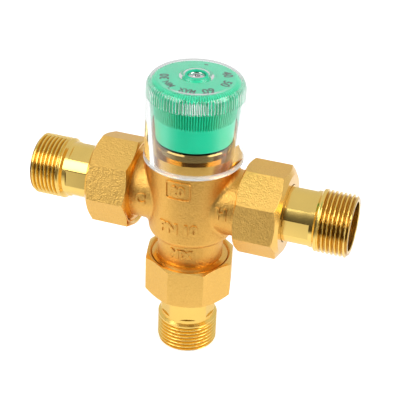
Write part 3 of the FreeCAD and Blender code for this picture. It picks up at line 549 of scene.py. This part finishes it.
def spun(name, outline, around):
    """A closed ring: the outline's (radius, height) points turned about Z, outside walls
    running upwards."""
    points = []
    faces = []
    rows = len(outline)
    for k in range(around):
        angle = 2 * math.pi * k / around
        for radius, height in outline:
            points.append((radius * math.cos(angle), radius * math.sin(angle), height))
        n = (k + 1) % around
        for i in range(rows):
            j = (i + 1) % rows
            faces.append((k * rows + i, n * rows + i, n * rows + j, k * rows + j))
    mesh = bpy.data.meshes.new(name)
    mesh.from_pydata(points, [], faces)
    made = bpy.data.objects.new(name, mesh)
    scene.collection.objects.link(made)
    return made


def eased(outline, radius, steps=3):
    """The outline with each corner rounded a little."""
    result = []
    for k, corner in enumerate(outline):
        here = Vector(corner)
        before = Vector(outline[k - 1]) - here
        after = Vector(outline[(k + 1) % len(outline)]) - here
        if corner[0] == 0 or before.angle(after) > math.radians(165):
            result.append(corner)
            continue
        reach = min(radius, before.length * 0.45, after.length * 0.45)
        start = here + before.normalized() * reach
        end = here + after.normalized() * reach
        for s in range(steps + 1):
            t = s / steps
            point = start * (1 - t) ** 2 + here * 2 * t * (1 - t) + end * t ** 2
            result.append((point.x, point.y))
    return result


def filled_rows(start, end, count):
    """Evenly spaced outline points after start up to end."""
    return [(start[0] + (end[0] - start[0]) * k / count, start[1] + (end[1] - start[1]) * k / count)
            for k in range(1, count + 1)]


def new_tree(name, sizes):
    """A Geometry Nodes tree with named sizes as inputs."""
    tree = bpy.data.node_groups.new(name, "GeometryNodeTree")
    tree.interface.new_socket("Geometry", in_out="INPUT", socket_type="NodeSocketGeometry")
    for size in sizes:
        tree.interface.new_socket(size, in_out="INPUT", socket_type="NodeSocketFloat")
    tree.interface.new_socket("Material", in_out="INPUT", socket_type="NodeSocketMaterial")
    tree.interface.new_socket("Geometry", in_out="OUTPUT", socket_type="NodeSocketGeometry")
    return tree, put(tree, "NodeGroupInput").outputs


def end_tree(tree, shape, material):
    whole = put(tree, "GeometryNodeRealizeInstances", shape).outputs[0]
    painted = put(tree, "GeometryNodeSetMaterial", whole, True, material).outputs[0]
    put(tree, "NodeGroupOutput", painted)


def grown(made, tree, values):
    """Runs a tree on a piece and leaves the result as a plain mesh."""
    growth = made.modifiers.new(tree.name, "NODES")
    growth.node_group = tree
    for item in tree.interface.items_tree:
        if item.in_out == "INPUT" and item.name in values:
            growth[item.identifier] = values[item.name]
    result = as_mesh(made)
    made.modifiers.clear()
    result.name = made.name
    made.data = result


def polar(tree):
    """Radius, angle and height of each point about Z."""
    place = put(tree, "GeometryNodeInputPosition").outputs[0]
    x, y, z = put(tree, "ShaderNodeSeparateXYZ", place).outputs
    squared = sum_of(tree, "ADD", sum_of(tree, "MULTIPLY", x, x), sum_of(tree, "MULTIPLY", y, y))
    return sum_of(tree, "SQRT", squared), sum_of(tree, "ARCTAN2", y, x), z


def set_radius(tree, shape, radius, wanted):
    """Moves each point straight in or out to the wanted radius."""
    ratio = sum_of(tree, "DIVIDE", wanted, radius)
    place = put(tree, "GeometryNodeInputPosition").outputs[0]
    outward = put(tree, "ShaderNodeCombineXYZ", ratio, ratio, 1.0).outputs[0]
    moved = put(tree, "ShaderNodeVectorMath", place, outward, operation="MULTIPLY").outputs[0]
    return put(tree, "GeometryNodeSetPosition", shape, True, moved).outputs[0]


def tail_tree():
    """Cuts a pipe thread and spanner flats into a plain turned tail."""
    sizes = ("Pitch", "Crest", "Root", "Thread start", "Flats across", "Flat count", "Flats start",
             "Flats end", "Turn", "Bore")
    tree, given = new_tree("threaded_tail", sizes)
    radius, angle, z = polar(tree)
    turns = sum_of(tree, "DIVIDE", angle, 2 * math.pi)
    along = sum_of(tree, "DIVIDE", z, given["Pitch"])
    phase = sum_of(tree, "FRACT", sum_of(tree, "SUBTRACT", along, turns))
    tooth = sum_of(tree, "MULTIPLY", sum_of(tree, "ABSOLUTE", sum_of(tree, "SUBTRACT", phase, 0.5)), 2.0)
    tooth = ramp(tree, tooth, 0.12, 0.88)
    begin = ramp(tree, z, given["Thread start"], sum_of(tree, "ADD", given["Thread start"], given["Pitch"]))
    inside = sum_of(tree, "GREATER_THAN", z, given["Thread start"])
    depth = sum_of(tree, "SUBTRACT", given["Crest"], given["Root"])
    groove = sum_of(tree, "MULTIPLY", depth, sum_of(tree, "SUBTRACT", 1.0, tooth))
    groove = sum_of(tree, "MULTIPLY", groove, sum_of(tree, "MULTIPLY", begin, inside))
    thread = sum_of(tree, "SUBTRACT", given["Crest"], groove)
    thread = sum_of(tree, "MINIMUM", radius, thread)
    outer = sum_of(tree, "GREATER_THAN", radius, sum_of(tree, "ADD", given["Bore"], 0.8 * MM))
    threaded = sum_of(tree, "MULTIPLY", outer, inside)
    radius_now = put(tree, "ShaderNodeMix", threaded, None, radius, thread).outputs[0]
    step = sum_of(tree, "DIVIDE", 2 * math.pi, given["Flat count"])
    half_step = sum_of(tree, "DIVIDE", step, 2.0)
    turned_by = sum_of(tree, "SUBTRACT", angle, given["Turn"])
    beside = sum_of(tree, "FLOORED_MODULO", sum_of(tree, "ADD", turned_by, half_step), step)
    beside = sum_of(tree, "SUBTRACT", beside, half_step)
    half_across = sum_of(tree, "DIVIDE", given["Flats across"], 2.0)
    flat = sum_of(tree, "DIVIDE", half_across, sum_of(tree, "COSINE", beside))
    flat = sum_of(tree, "MINIMUM", radius_now, flat)
    here = sum_of(tree, "MULTIPLY", sum_of(tree, "GREATER_THAN", z, given["Flats start"]),
                  sum_of(tree, "LESS_THAN", z, given["Flats end"]))
    here = sum_of(tree, "MULTIPLY", here, outer)
    wanted = put(tree, "ShaderNodeMix", here, None, radius_now, flat).outputs[0]
    shape = set_radius(tree, given["Geometry"], radius, wanted)
    end_tree(tree, shape, given["Material"])
    return tree


def turned_brass(name, axis, pale, roughness):
    """Bright brass with the fine rings that a lathe tool leaves round the given axis, and
    painted shade that darkens it where the "valley" attribute is above 0, deepest in the thread valleys."""
    made, tree, place = fresh_material(name)
    squeeze = [HAZE_SCALE] * 3
    squeeze["XYZ".index(axis)] = RING_SCALE
    laid = put(tree, "ShaderNodeMapping", place)
    laid.inputs["Scale"].default_value = squeeze
    rings = noise(tree, laid.outputs[0], 1.0, 2.0, 0.5)
    haze = noise(tree, place, 140.0, 3.0, 0.55)
    sheen = spread(tree, haze, roughness - 0.03, roughness + 0.05)
    # Painted shade: the brass is darkened where the thread is cut deep.
    valley_shade = put(tree, "ShaderNodeAttribute", attribute_name="valley").outputs["Fac"]
    valley_shading = put(tree, "ShaderNodeMix", data_type="RGBA", blend_type="MULTIPLY")
    tree.links.new(valley_shade, valley_shading.inputs["Factor"])
    tree.links.new(two_tones(tree, haze, [c * 0.88 for c in pale], pale), valley_shading.inputs[6])
    valley_shading.inputs[7].default_value = (*THREAD_VALLEY_SHADE, 1.0)
    principled(tree, valley_shading.outputs[2], sheen, 1.0, bumped(tree, rings, 0.5, 0.004 * MM))
    return made


tail_brass = {"X": turned_brass("tail_brass_sideways", "X", (0.97, 0.68, 0.19), 0.17),
              "Z": turned_brass("tail_brass_upright", "Z", (0.97, 0.66, 0.17), 0.19)}
threaded_tail = tail_tree()


def crisp_flats(mesh, low, high):
    """Keeps the spanner flats flat to their edges."""
    shell = bmesh.new()
    shell.from_mesh(mesh)
    for edge in shell.edges:
        if all(low < v.co.z < high for v in edge.verts) and edge.calc_face_angle(0) > math.radians(3):
            edge.smooth = False
    shell.to_mesh(mesh)
    shell.free()


def tail(port):
    end = TAIL_END[port]
    shoulder = end - NUT_OUTER_TO_END - NUT_WALL
    thread_start = end - THREAD_LENGTH
    profile = eased([
        (TAIL_BORE, shoulder - TAIL_FLANGE_THICKNESS),
        (TAIL_FLANGE, shoulder - TAIL_FLANGE_THICKNESS),
        (TAIL_FLANGE, shoulder),
        (TAIL_NECK, shoulder),
    ], 0.15 * MM)
    profile = [p for p in profile if not (p[0] < TAIL_NECK and p[1] > shoulder - MM)]
    flats_low = end - NUT_OUTER_TO_END + 0.3 * MM
    flats_high = end - FLATS_START
    for z in (flats_low, flats_high):
        profile += [(TAIL_NECK, z - 0.02 * MM), (TAIL_NECK, z + 0.02 * MM)]
    profile += [(TAIL_NECK, thread_start - 1.0 * MM), (THREAD_CREST, thread_start - 0.1 * MM)]
    straight = THREAD_LENGTH - THREAD_TIP
    for k in range(THREAD_ROWS + 1):
        profile.append((THREAD_CREST, thread_start + straight * k / THREAD_ROWS))
    profile += filled_rows((THREAD_CREST, end - THREAD_TIP), (THREAD_ROOT, end), 6)
    profile += [(TAIL_BORE + 0.25 * MM, end), (TAIL_BORE, end - 0.25 * MM)]
    made = spun("tail_" + port, profile, TAIL_SIDES)
    grown(made, threaded_tail, {
        "Pitch": THREAD_PITCH, "Crest": THREAD_CREST, "Root": THREAD_ROOT,
        "Thread start": thread_start, "Flats across": FLATS_ACROSS,
        "Flat count": float(FLAT_COUNT), "Flats start": flats_low, "Flats end": flats_high,
        "Turn": math.radians(FLATS_TURN[port]), "Bore": TAIL_BORE,
        "Material": tail_brass["Z" if port == "mixed" else "X"]})
    lay_smooth(made.data, 40)
    crisp_flats(made.data, flats_low - 0.1 * MM, flats_high + 0.1 * MM)
    # Painted shade: how deep each point sits in the thread, which sets how much the brass is darkened there.
    valley = made.data.attributes.new("valley", "FLOAT", "POINT")
    for v in made.data.vertices:
        sunk = (THREAD_CREST - math.hypot(v.co.x, v.co.y)) / (THREAD_CREST - THREAD_ROOT)
        cut = v.co.z > thread_start and sunk < 1.05
        valley.data[v.index].value = min(1.0, max(0.0, sunk * 2.0 - 1.0)) if cut else 0.0
    made.data.transform(Matrix.Translation((0, 0, arm_axis_height)) @ TURNS[port])
    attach(made, "housing")
    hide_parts("tailpiece_" + port)


for port in ("hot", "cold", "mixed"):
    tail(port)

# ---------------------------------------------------------------------------------------
# The bonnet.  A polished brass insert screwed into the barrel; it carries the spindle and
# its ring shows below the knob.  Its colour is painted dark, as painted shade for the dark
# surroundings that it mirrors under the cap.
# ---------------------------------------------------------------------------------------
# Painted shade: a dark brass colour that stands in for the dark surroundings that the polished ring mirrors.
bonnet_brass_painted_dark = turned_brass("bonnet_brass_painted_dark", "Z", (0.36, 0.235, 0.085), 0.10)
bonnet = dressed("bonnet", "bonnet_ring", bonnet_brass_painted_dark, "housing")

# ---------------------------------------------------------------------------------------
# The knob.  Moulded in green plastic, hollow, with fine ribs round its upper side, a
# flat dial on top and a boss round the screw that holds it.
# ---------------------------------------------------------------------------------------
KNOB_BOTTOM = 28.2 * MM
KNOB_SKIRT = 17.4 * MM
KNOB_RIB_START = 38.4 * MM
KNOB_RIB_TOP = 50.3 * MM
KNOB_SHOULDER = 18.35 * MM
KNOB_TOP = 53.3 * MM
KNOB_EDGE = 3.0 * MM
KNOB_WALL = 1.7 * MM
KNOB_ROOF = 2.2 * MM
KNOB_HUB = 6.2 * MM
KNOB_HUB_BOTTOM = 37.2 * MM
KNOB_BOSS = 4.75 * MM
KNOB_BOSS_HOLE = 3.75 * MM
KNOB_BOSS_TOP = 55.6 * MM
KNOB_RECESS = 51.8 * MM
KNOB_SCREW_HOLE = 2.3 * MM
KNOB_BORE = 4.1 * MM                   # the hub's bore, which takes the spindle
KNOB_BORE_TOP = 48.4 * MM
RIB_COUNT = 104
RIB_DEPTH = 0.85 * MM
RIB_ZONE = (15.9 * MM, 19.0 * MM)      # the radii that the ribs are cut between
SIDES_PER_RIB = 8


def flute_tree():
    """Presses evenly spaced flutes into a wall between two heights and two radii."""
    sizes = ("Count", "Depth", "Low", "High", "Fade", "Inner", "Outer")
    tree, given = new_tree("flutes", sizes)
    radius, angle, z = polar(tree)
    turns = sum_of(tree, "DIVIDE", angle, 2 * math.pi)
    phase = sum_of(tree, "FRACT", sum_of(tree, "MULTIPLY", turns, given["Count"]))
    away = sum_of(tree, "MULTIPLY", sum_of(tree, "ABSOLUTE", sum_of(tree, "SUBTRACT", phase, 0.5)), 2.0)
    flute = sum_of(tree, "SUBTRACT", 1.0, ramp(tree, away, 0.15, 0.75))
    low = ramp(tree, z, given["Low"], sum_of(tree, "ADD", given["Low"], given["Fade"]))
    fading = ramp(tree, z, sum_of(tree, "SUBTRACT", given["High"], given["Fade"]), given["High"])
    high = sum_of(tree, "SUBTRACT", 1.0, fading)
    near = sum_of(tree, "MULTIPLY", sum_of(tree, "GREATER_THAN", radius, given["Inner"]),
                  sum_of(tree, "LESS_THAN", radius, given["Outer"]))
    amount = sum_of(tree, "MULTIPLY", sum_of(tree, "MULTIPLY", flute, near),
                    sum_of(tree, "MULTIPLY", low, high))
    wanted = sum_of(tree, "ADD", radius, sum_of(tree, "MULTIPLY", amount, given["Depth"]))
    shape = set_radius(tree, given["Geometry"], radius, wanted)
    end_tree(tree, shape, given["Material"])
    return tree


flutes = flute_tree()


def moulded_green():
    """Green plastic with a faint orange-peel skin."""
    made, tree, place = fresh_material("knob_green")
    cloud = noise(tree, place, 60.0, 2.0, 0.5)
    peel = bumped(tree, noise(tree, place, 700.0, 2.0, 0.5), 0.3, 0.01 * MM)
    colour = two_tones(tree, cloud, (0.002, 0.62, 0.33), (0.004, 0.68, 0.38))
    principled(tree, colour, spread(tree, cloud, 0.30, 0.38), 0.0, peel, IOR=1.5)
    return made


knob_green = moulded_green()


def quarter(centre, radius, start, end, count):
    """Outline points on an arc between two angles in degrees."""
    points = []
    for k in range(count + 1):
        angle = math.radians(start + (end - start) * k / count)
        points.append((centre[0] + radius * math.cos(angle), centre[1] + radius * math.sin(angle)))
    return points


def raised(outline, height):
    return [(r, z + height) for r, z in outline]


def knob():
    inside = KNOB_SKIRT - KNOB_WALL
    profile = [(inside, KNOB_BOTTOM + 0.2 * MM), (inside + 0.2 * MM, KNOB_BOTTOM),
               (KNOB_SKIRT - 0.3 * MM, KNOB_BOTTOM), (KNOB_SKIRT, KNOB_BOTTOM + 0.3 * MM),
               (KNOB_SKIRT, KNOB_RIB_START - 0.3 * MM), (KNOB_SKIRT, KNOB_RIB_START)]
    profile += filled_rows((KNOB_SKIRT, KNOB_RIB_START), (KNOB_SHOULDER, KNOB_RIB_TOP), 16)
    profile += quarter((KNOB_SHOULDER - KNOB_EDGE, KNOB_RIB_TOP), KNOB_EDGE, 8, 90, 12)
    profile += [(KNOB_BOSS + 0.4 * MM, KNOB_TOP), (KNOB_BOSS, KNOB_TOP + 0.4 * MM),
                (KNOB_BOSS, KNOB_BOSS_TOP - 0.25 * MM), (KNOB_BOSS - 0.25 * MM, KNOB_BOSS_TOP),
                (KNOB_BOSS_HOLE + 0.2 * MM, KNOB_BOSS_TOP), (KNOB_BOSS_HOLE, KNOB_BOSS_TOP - 0.2 * MM),
                (KNOB_BOSS_HOLE, KNOB_RECESS), (KNOB_SCREW_HOLE, KNOB_RECESS),
                (KNOB_SCREW_HOLE, KNOB_BORE_TOP), (KNOB_BORE, KNOB_BORE_TOP), (KNOB_BORE, KNOB_HUB_BOTTOM),
                (KNOB_HUB, KNOB_HUB_BOTTOM), (KNOB_HUB, KNOB_TOP - KNOB_ROOF),
                (inside, KNOB_TOP - KNOB_ROOF)]
    made = spun("knob_green", raised(profile, arm_axis_height), RIB_COUNT * SIDES_PER_RIB)
    grown(made, flutes, {
        "Count": float(RIB_COUNT), "Depth": -RIB_DEPTH, "Low": arm_axis_height + KNOB_RIB_START,
        "High": arm_axis_height + KNOB_TOP + MM, "Fade": 0.8 * MM,
        "Inner": RIB_ZONE[0], "Outer": RIB_ZONE[1], "Material": knob_green})
    lay_smooth(made.data, 35)
    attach(made, "knob")
    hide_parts("temperature_knob")


knob()

# ---------------------------------------------------------------------------------------
# The dial printed on the knob in dark ink, with the tops of the figures outwards.  The
# degrees run from MIN round to MAX, which stands at the front.
# ---------------------------------------------------------------------------------------
DIAL_RADIUS = 12.9 * MM
INK_THICKNESS = 0.10 * MM
INK_ROUNDING = 0.01 * MM
INK_WEIGHT = 0.026
DIAL_MARKS = (("30", -160), ("MIN", -129), ("MAX", -88), ("60", -50), ("50", -5), ("40", 34))
DIAL_FIGURE_HEIGHT = 3.9 * MM
DIAL_WORD_HEIGHT = 3.0 * MM
DIAL_NARROWING = 0.78                  # width of the words against their height
DIAL_TICK_ANGLE = 91
DIAL_TICK_HEIGHT = 0.8 * MM


def dial_ink():
    made, tree, place = fresh_material("dial_ink")
    patch = noise(tree, place, 2500.0, 2.0, 0.6)
    principled(tree, two_tones(tree, patch, (0.006, 0.030, 0.020), (0.012, 0.055, 0.040)), 0.5)
    return made


ink = dial_ink()


def dial_mark(name, words, degrees, height):
    mesh = letter_mesh(words, height, INK_THICKNESS, INK_ROUNDING, INK_WEIGHT)
    mesh.transform(Matrix.Diagonal((DIAL_NARROWING if words.isalpha() else 1.0, 1.0, 1.0, 1.0)))
    up = Vector((math.cos(math.radians(degrees)), math.sin(math.radians(degrees)), 0))
    right = Vector((up.y, -up.x, 0))
    top = Vector((0, 0, arm_axis_height + KNOB_TOP))
    for v in mesh.vertices:
        v.co = top + right * v.co.x + up * (DIAL_RADIUS + v.co.y) + Vector((0, 0, v.co.z))
    mesh.materials.clear()
    mesh.materials.append(ink)
    made = bpy.data.objects.new(name, mesh)
    scene.collection.objects.link(made)
    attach(made, "knob")


for words, degrees in DIAL_MARKS:
    size = DIAL_FIGURE_HEIGHT if words.isdigit() else DIAL_WORD_HEIGHT
    dial_mark("dial_" + words, words, degrees, size)
dial_mark("dial_tick", "-", DIAL_TICK_ANGLE, DIAL_TICK_HEIGHT)

# ---------------------------------------------------------------------------------------
# The knob's screw, a plated socket-head screw sunk in the boss.
# ---------------------------------------------------------------------------------------


def bright_plate(name, colour, roughness):
    made, tree, place = fresh_material(name)
    haze = noise(tree, place, 600.0, 3.0, 0.6)
    sheen = spread(tree, haze, roughness - 0.04, roughness + 0.06)
    principled(tree, two_tones(tree, haze, [c * 0.85 for c in colour], colour), sheen, 1.0)
    return made


screw_plate = bright_plate("screw_plate", (0.80, 0.80, 0.80), 0.15)
SCREW_HEAD = 3.35 * MM
SCREW_HEAD_TOP = 55.0 * MM
SCREW_SHANK = 2.0 * MM
SCREW_MIDDLE = 0.2 * MM                # radius of the small hole that closes each end's centre
SCREW_SOCKET = 1.45 * MM               # half the width across the socket's flats
SCREW_SOCKET_DEPTH = 1.8 * MM
SCREW_SIDES = 48


def socket_screw():
    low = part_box("knob_screw")[0][2]
    seat = arm_axis_height + KNOB_RECESS
    top = arm_axis_height + SCREW_HEAD_TOP
    floor = top - SCREW_SOCKET_DEPTH
    side = [(SCREW_SHANK, low), (SCREW_SHANK, seat), (SCREW_HEAD, seat), (SCREW_HEAD, top)]
    profile = [(SCREW_MIDDLE, low), (SCREW_SHANK - 0.3 * MM, low), (SCREW_SHANK, low + 0.3 * MM)]
    profile += eased(side, 0.35 * MM)[4:]
    profile += [(SCREW_SOCKET + 0.35 * MM, top), (SCREW_SOCKET + 0.02 * MM, top - 0.15 * MM),
                (SCREW_SOCKET + 0.01 * MM, floor), (SCREW_MIDDLE, floor - 0.3 * MM)]
    made = spun("screw", profile, SCREW_SIDES)
    for v in made.data.vertices:
        radius = math.hypot(v.co.x, v.co.y)
        if v.co.z > floor - 0.1 * MM and radius < SCREW_SOCKET + 0.1 * MM:
            turn = math.atan2(v.co.y, v.co.x) % (math.pi / 3) - math.pi / 6
            v.co.x, v.co.y = v.co.x / math.cos(turn), v.co.y / math.cos(turn)
    made.data.materials.append(screw_plate)
    lay_smooth(made.data, 35)
    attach(made, "knob")
    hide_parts("knob_screw")


socket_screw()

# ---------------------------------------------------------------------------------------
# The clear cap.  One moulding of clear plastic that snaps over the barrel: a thin skirt
# with a double bead, a thick band with teeth inside it, and a hole with a raised rim.
# ---------------------------------------------------------------------------------------
CAP_BOTTOM = 18.0 * MM
CAP_TOP = 54.9 * MM
CAP_TOP_RADIUS = 20.4 * MM
CAP_LOW_RADIUS = 20.6 * MM
CAP_BEAD_RADIUS = 20.95 * MM
CAP_BEAD_HEIGHT = 1.6 * MM
CAP_WALL = 1.3 * MM
CAP_ROOF = 1.3 * MM
CAP_EDGE = 5.0 * MM
CAP_BAND = 46.5 * MM
CAP_BAND_BORE = 18.9 * MM
CAP_INNER_EDGE = 3.2 * MM
CAP_HOLE = 5.15 * MM
CAP_RIM = 6.8 * MM
CAP_RIM_HEIGHT = 0.8 * MM
CAP_TEETH = 90
TOOTH_DEPTH = 0.35 * MM
TOOTH_ZONE = (18.0 * MM, 19.2 * MM)
MILK_HEIGHT = 1.9 * MM                 # the cap is clear above this, and milky MILK_FADE lower
MILK_FADE = 0.6 * MM


def clear_plastic():
    """Clear plastic, grey where it is seen along its wall and milky in the bead.  Lamps and
    reflections pass straight through, so that no light is caught inside the wall."""
    made, tree, place = fresh_material("clear_plastic")
    ripple = noise(tree, place, 90.0, 2.0, 0.5)
    facing = put(tree, "ShaderNodeLayerWeight", 0.5).outputs["Facing"]
    rim = put(tree, "ShaderNodeMapRange", facing, 0.62, 0.98, 0.0, 1.0).outputs[0]
    colour = two_tones(tree, rim, (0.93, 0.96, 0.95), (0.66, 0.70, 0.69))
    height = put(tree, "ShaderNodeSeparateXYZ", place).outputs[2]
    clear_from = arm_axis_height + CAP_BOTTOM + MILK_HEIGHT
    bead = put(tree, "ShaderNodeMapRange", height, clear_from, clear_from - MILK_FADE, 0.0, 0.45).outputs[0]
    milk = sum_of(tree, "ADD", bead, sum_of(tree, "MULTIPLY", rim, 0.12), clamp=True)
    glass = principled(tree, colour, spread(tree, ripple, 0.01, 0.03), 0.0,
                       bumped(tree, ripple, 0.2, 0.01 * MM), IOR=1.49, Transmission_Weight=1.0)
    frost = put(tree, "ShaderNodeBsdfDiffuse", (0.90, 0.92, 0.92, 1.0)).outputs[0]
    wall = put(tree, "ShaderNodeMixShader", milk, glass.outputs[0], frost).outputs[0]
    ray = put(tree, "ShaderNodeLightPath").outputs
    reflected = sum_of(tree, "GREATER_THAN", ray["Glossy Depth"], 0.5)
    passes = sum_of(tree, "MAXIMUM", ray["Is Shadow Ray"], reflected)
    open_way = put(tree, "ShaderNodeBsdfTransparent", (0.94, 0.95, 0.945, 1.0)).outputs[0]
    both = put(tree, "ShaderNodeMixShader", passes, wall, open_way).outputs[0]
    tree.links.new(both, tree.nodes["Material Output"].inputs["Surface"])
    return made


cap_plastic = clear_plastic()


def clear_cap():
    bore = CAP_LOW_RADIUS - CAP_WALL
    inside_top = CAP_TOP - CAP_ROOF
    profile = [(bore, CAP_BOTTOM + 0.15 * MM), (bore + 0.15 * MM, CAP_BOTTOM),
               (CAP_BEAD_RADIUS - 0.3 * MM, CAP_BOTTOM), (CAP_BEAD_RADIUS, CAP_BOTTOM + 0.25 * MM),
               (CAP_BEAD_RADIUS, CAP_BOTTOM + 0.55 * MM), (CAP_LOW_RADIUS + 0.05 * MM, CAP_BOTTOM + 0.8 * MM),
               (CAP_BEAD_RADIUS - 0.05 * MM, CAP_BOTTOM + 1.05 * MM),
               (CAP_BEAD_RADIUS - 0.05 * MM, CAP_BOTTOM + 1.35 * MM),
               (CAP_LOW_RADIUS, CAP_BOTTOM + CAP_BEAD_HEIGHT + 0.2 * MM)]
    profile += quarter((CAP_TOP_RADIUS - CAP_EDGE, CAP_TOP - CAP_EDGE), CAP_EDGE, 0, 90, 16)
    rim_top = CAP_TOP + CAP_RIM_HEIGHT
    profile += [(CAP_RIM + 0.3 * MM, CAP_TOP),
                (CAP_RIM - CAP_RIM_HEIGHT * 0.6, CAP_TOP + CAP_RIM_HEIGHT * 0.85),
                (CAP_RIM - CAP_RIM_HEIGHT, rim_top), (CAP_HOLE + 0.15 * MM, rim_top),
                (CAP_HOLE, rim_top - 0.15 * MM), (CAP_HOLE, inside_top)]
    band_top = inside_top - CAP_INNER_EDGE
    profile += quarter((CAP_BAND_BORE - CAP_INNER_EDGE, band_top), CAP_INNER_EDGE, 90, 0, 10)
    profile += filled_rows((CAP_BAND_BORE, band_top), (CAP_BAND_BORE, CAP_BAND + 0.1 * MM), 5)
    profile += [(CAP_BAND_BORE + 0.1 * MM, CAP_BAND), (bore, CAP_BAND)]
    made = spun("cap_clear", raised(profile, arm_axis_height), CAP_TEETH * SIDES_PER_RIB)
    grown(made, flutes, {
        "Count": float(CAP_TEETH), "Depth": TOOTH_DEPTH, "Low": arm_axis_height + CAP_BAND - MM,
        "High": arm_axis_height + inside_top, "Fade": 0.5 * MM,
        "Inner": TOOTH_ZONE[0], "Outer": TOOTH_ZONE[1], "Material": cap_plastic})
    lay_smooth(made.data, 35)
    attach(made, "cap")
    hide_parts("clear_cap")


clear_cap()

# ---------------------------------------------------------------------------------------
# What is inside: the wax element and its piston, the adjusting sleeve, the springs, the
# seals and the check cartridges.  Most keep their solids, each with its own finish; the
# three coil springs that push a moving piece are squeezed between it and the housing.
# ---------------------------------------------------------------------------------------


def moulded(name, pale, dark, roughness, grain):
    """Plastic, rubber or fibre with slow changes of tone and a fine skin."""
    made, tree, place = fresh_material(name)
    patch = noise(tree, place, grain, 3.0, 0.6)
    principled(tree, two_tones(tree, patch, dark, pale), roughness, 0.0, bumped(tree, patch, 0.4, 0.02 * MM))
    return made


inner_brass = turned_brass("inner_brass", "Z", (0.86, 0.58, 0.20), 0.26)
stainless = bright_plate("stainless", (0.62, 0.61, 0.59), 0.28)
nitrile = moulded("nitrile", (0.030, 0.030, 0.032), (0.012, 0.012, 0.013), 0.55, 1500.0)
red_fibre = moulded("red_fibre", (0.46, 0.10, 0.06), (0.30, 0.06, 0.04), 0.75, 2500.0)
acetal = moulded("acetal", (0.86, 0.86, 0.82), (0.78, 0.78, 0.74), 0.40, 500.0)
FINISHES = {
    "turned_brass": inner_brass,
    "stainless_steel": stainless,
    "plated_steel": screw_plate,
    "seal_rubber": nitrile,
    "fibre": red_fibre,
    "acetal": acetal,
}

for port in ("hot", "cold"):
    basket = dressed("strainer_" + port, "basket_" + port, stainless, "housing")

for node, name, moving, axis, fixed in (
        ("return_spring", "spring_return", "piston", 2, 0),
        ("check_spring_hot", "spring_check_hot", "hot_poppet", 0, 0),
        ("check_spring_cold", "spring_check_cold", "cold_poppet", 0, 1)):
    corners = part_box(node)
    fixed_end = [(a + b) / 2 for a, b in zip(*corners)]
    moving_end = list(fixed_end)
    fixed_end[axis], moving_end[axis] = corners[fixed][axis], corners[1 - fixed][axis]
    coil = dressed(node, name, stainless, None)
    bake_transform(coil, "housing", moving, start=fixed_end, end=moving_end)

slots = {row["node"]: row["material_slot"] for row in frame["record"]["subparts"]}
for node, piece in frame["nodes"].items():
    if not piece.hide_render:
        piece.data.materials.clear()
        piece.data.materials.append(FINISHES[slots[node]])
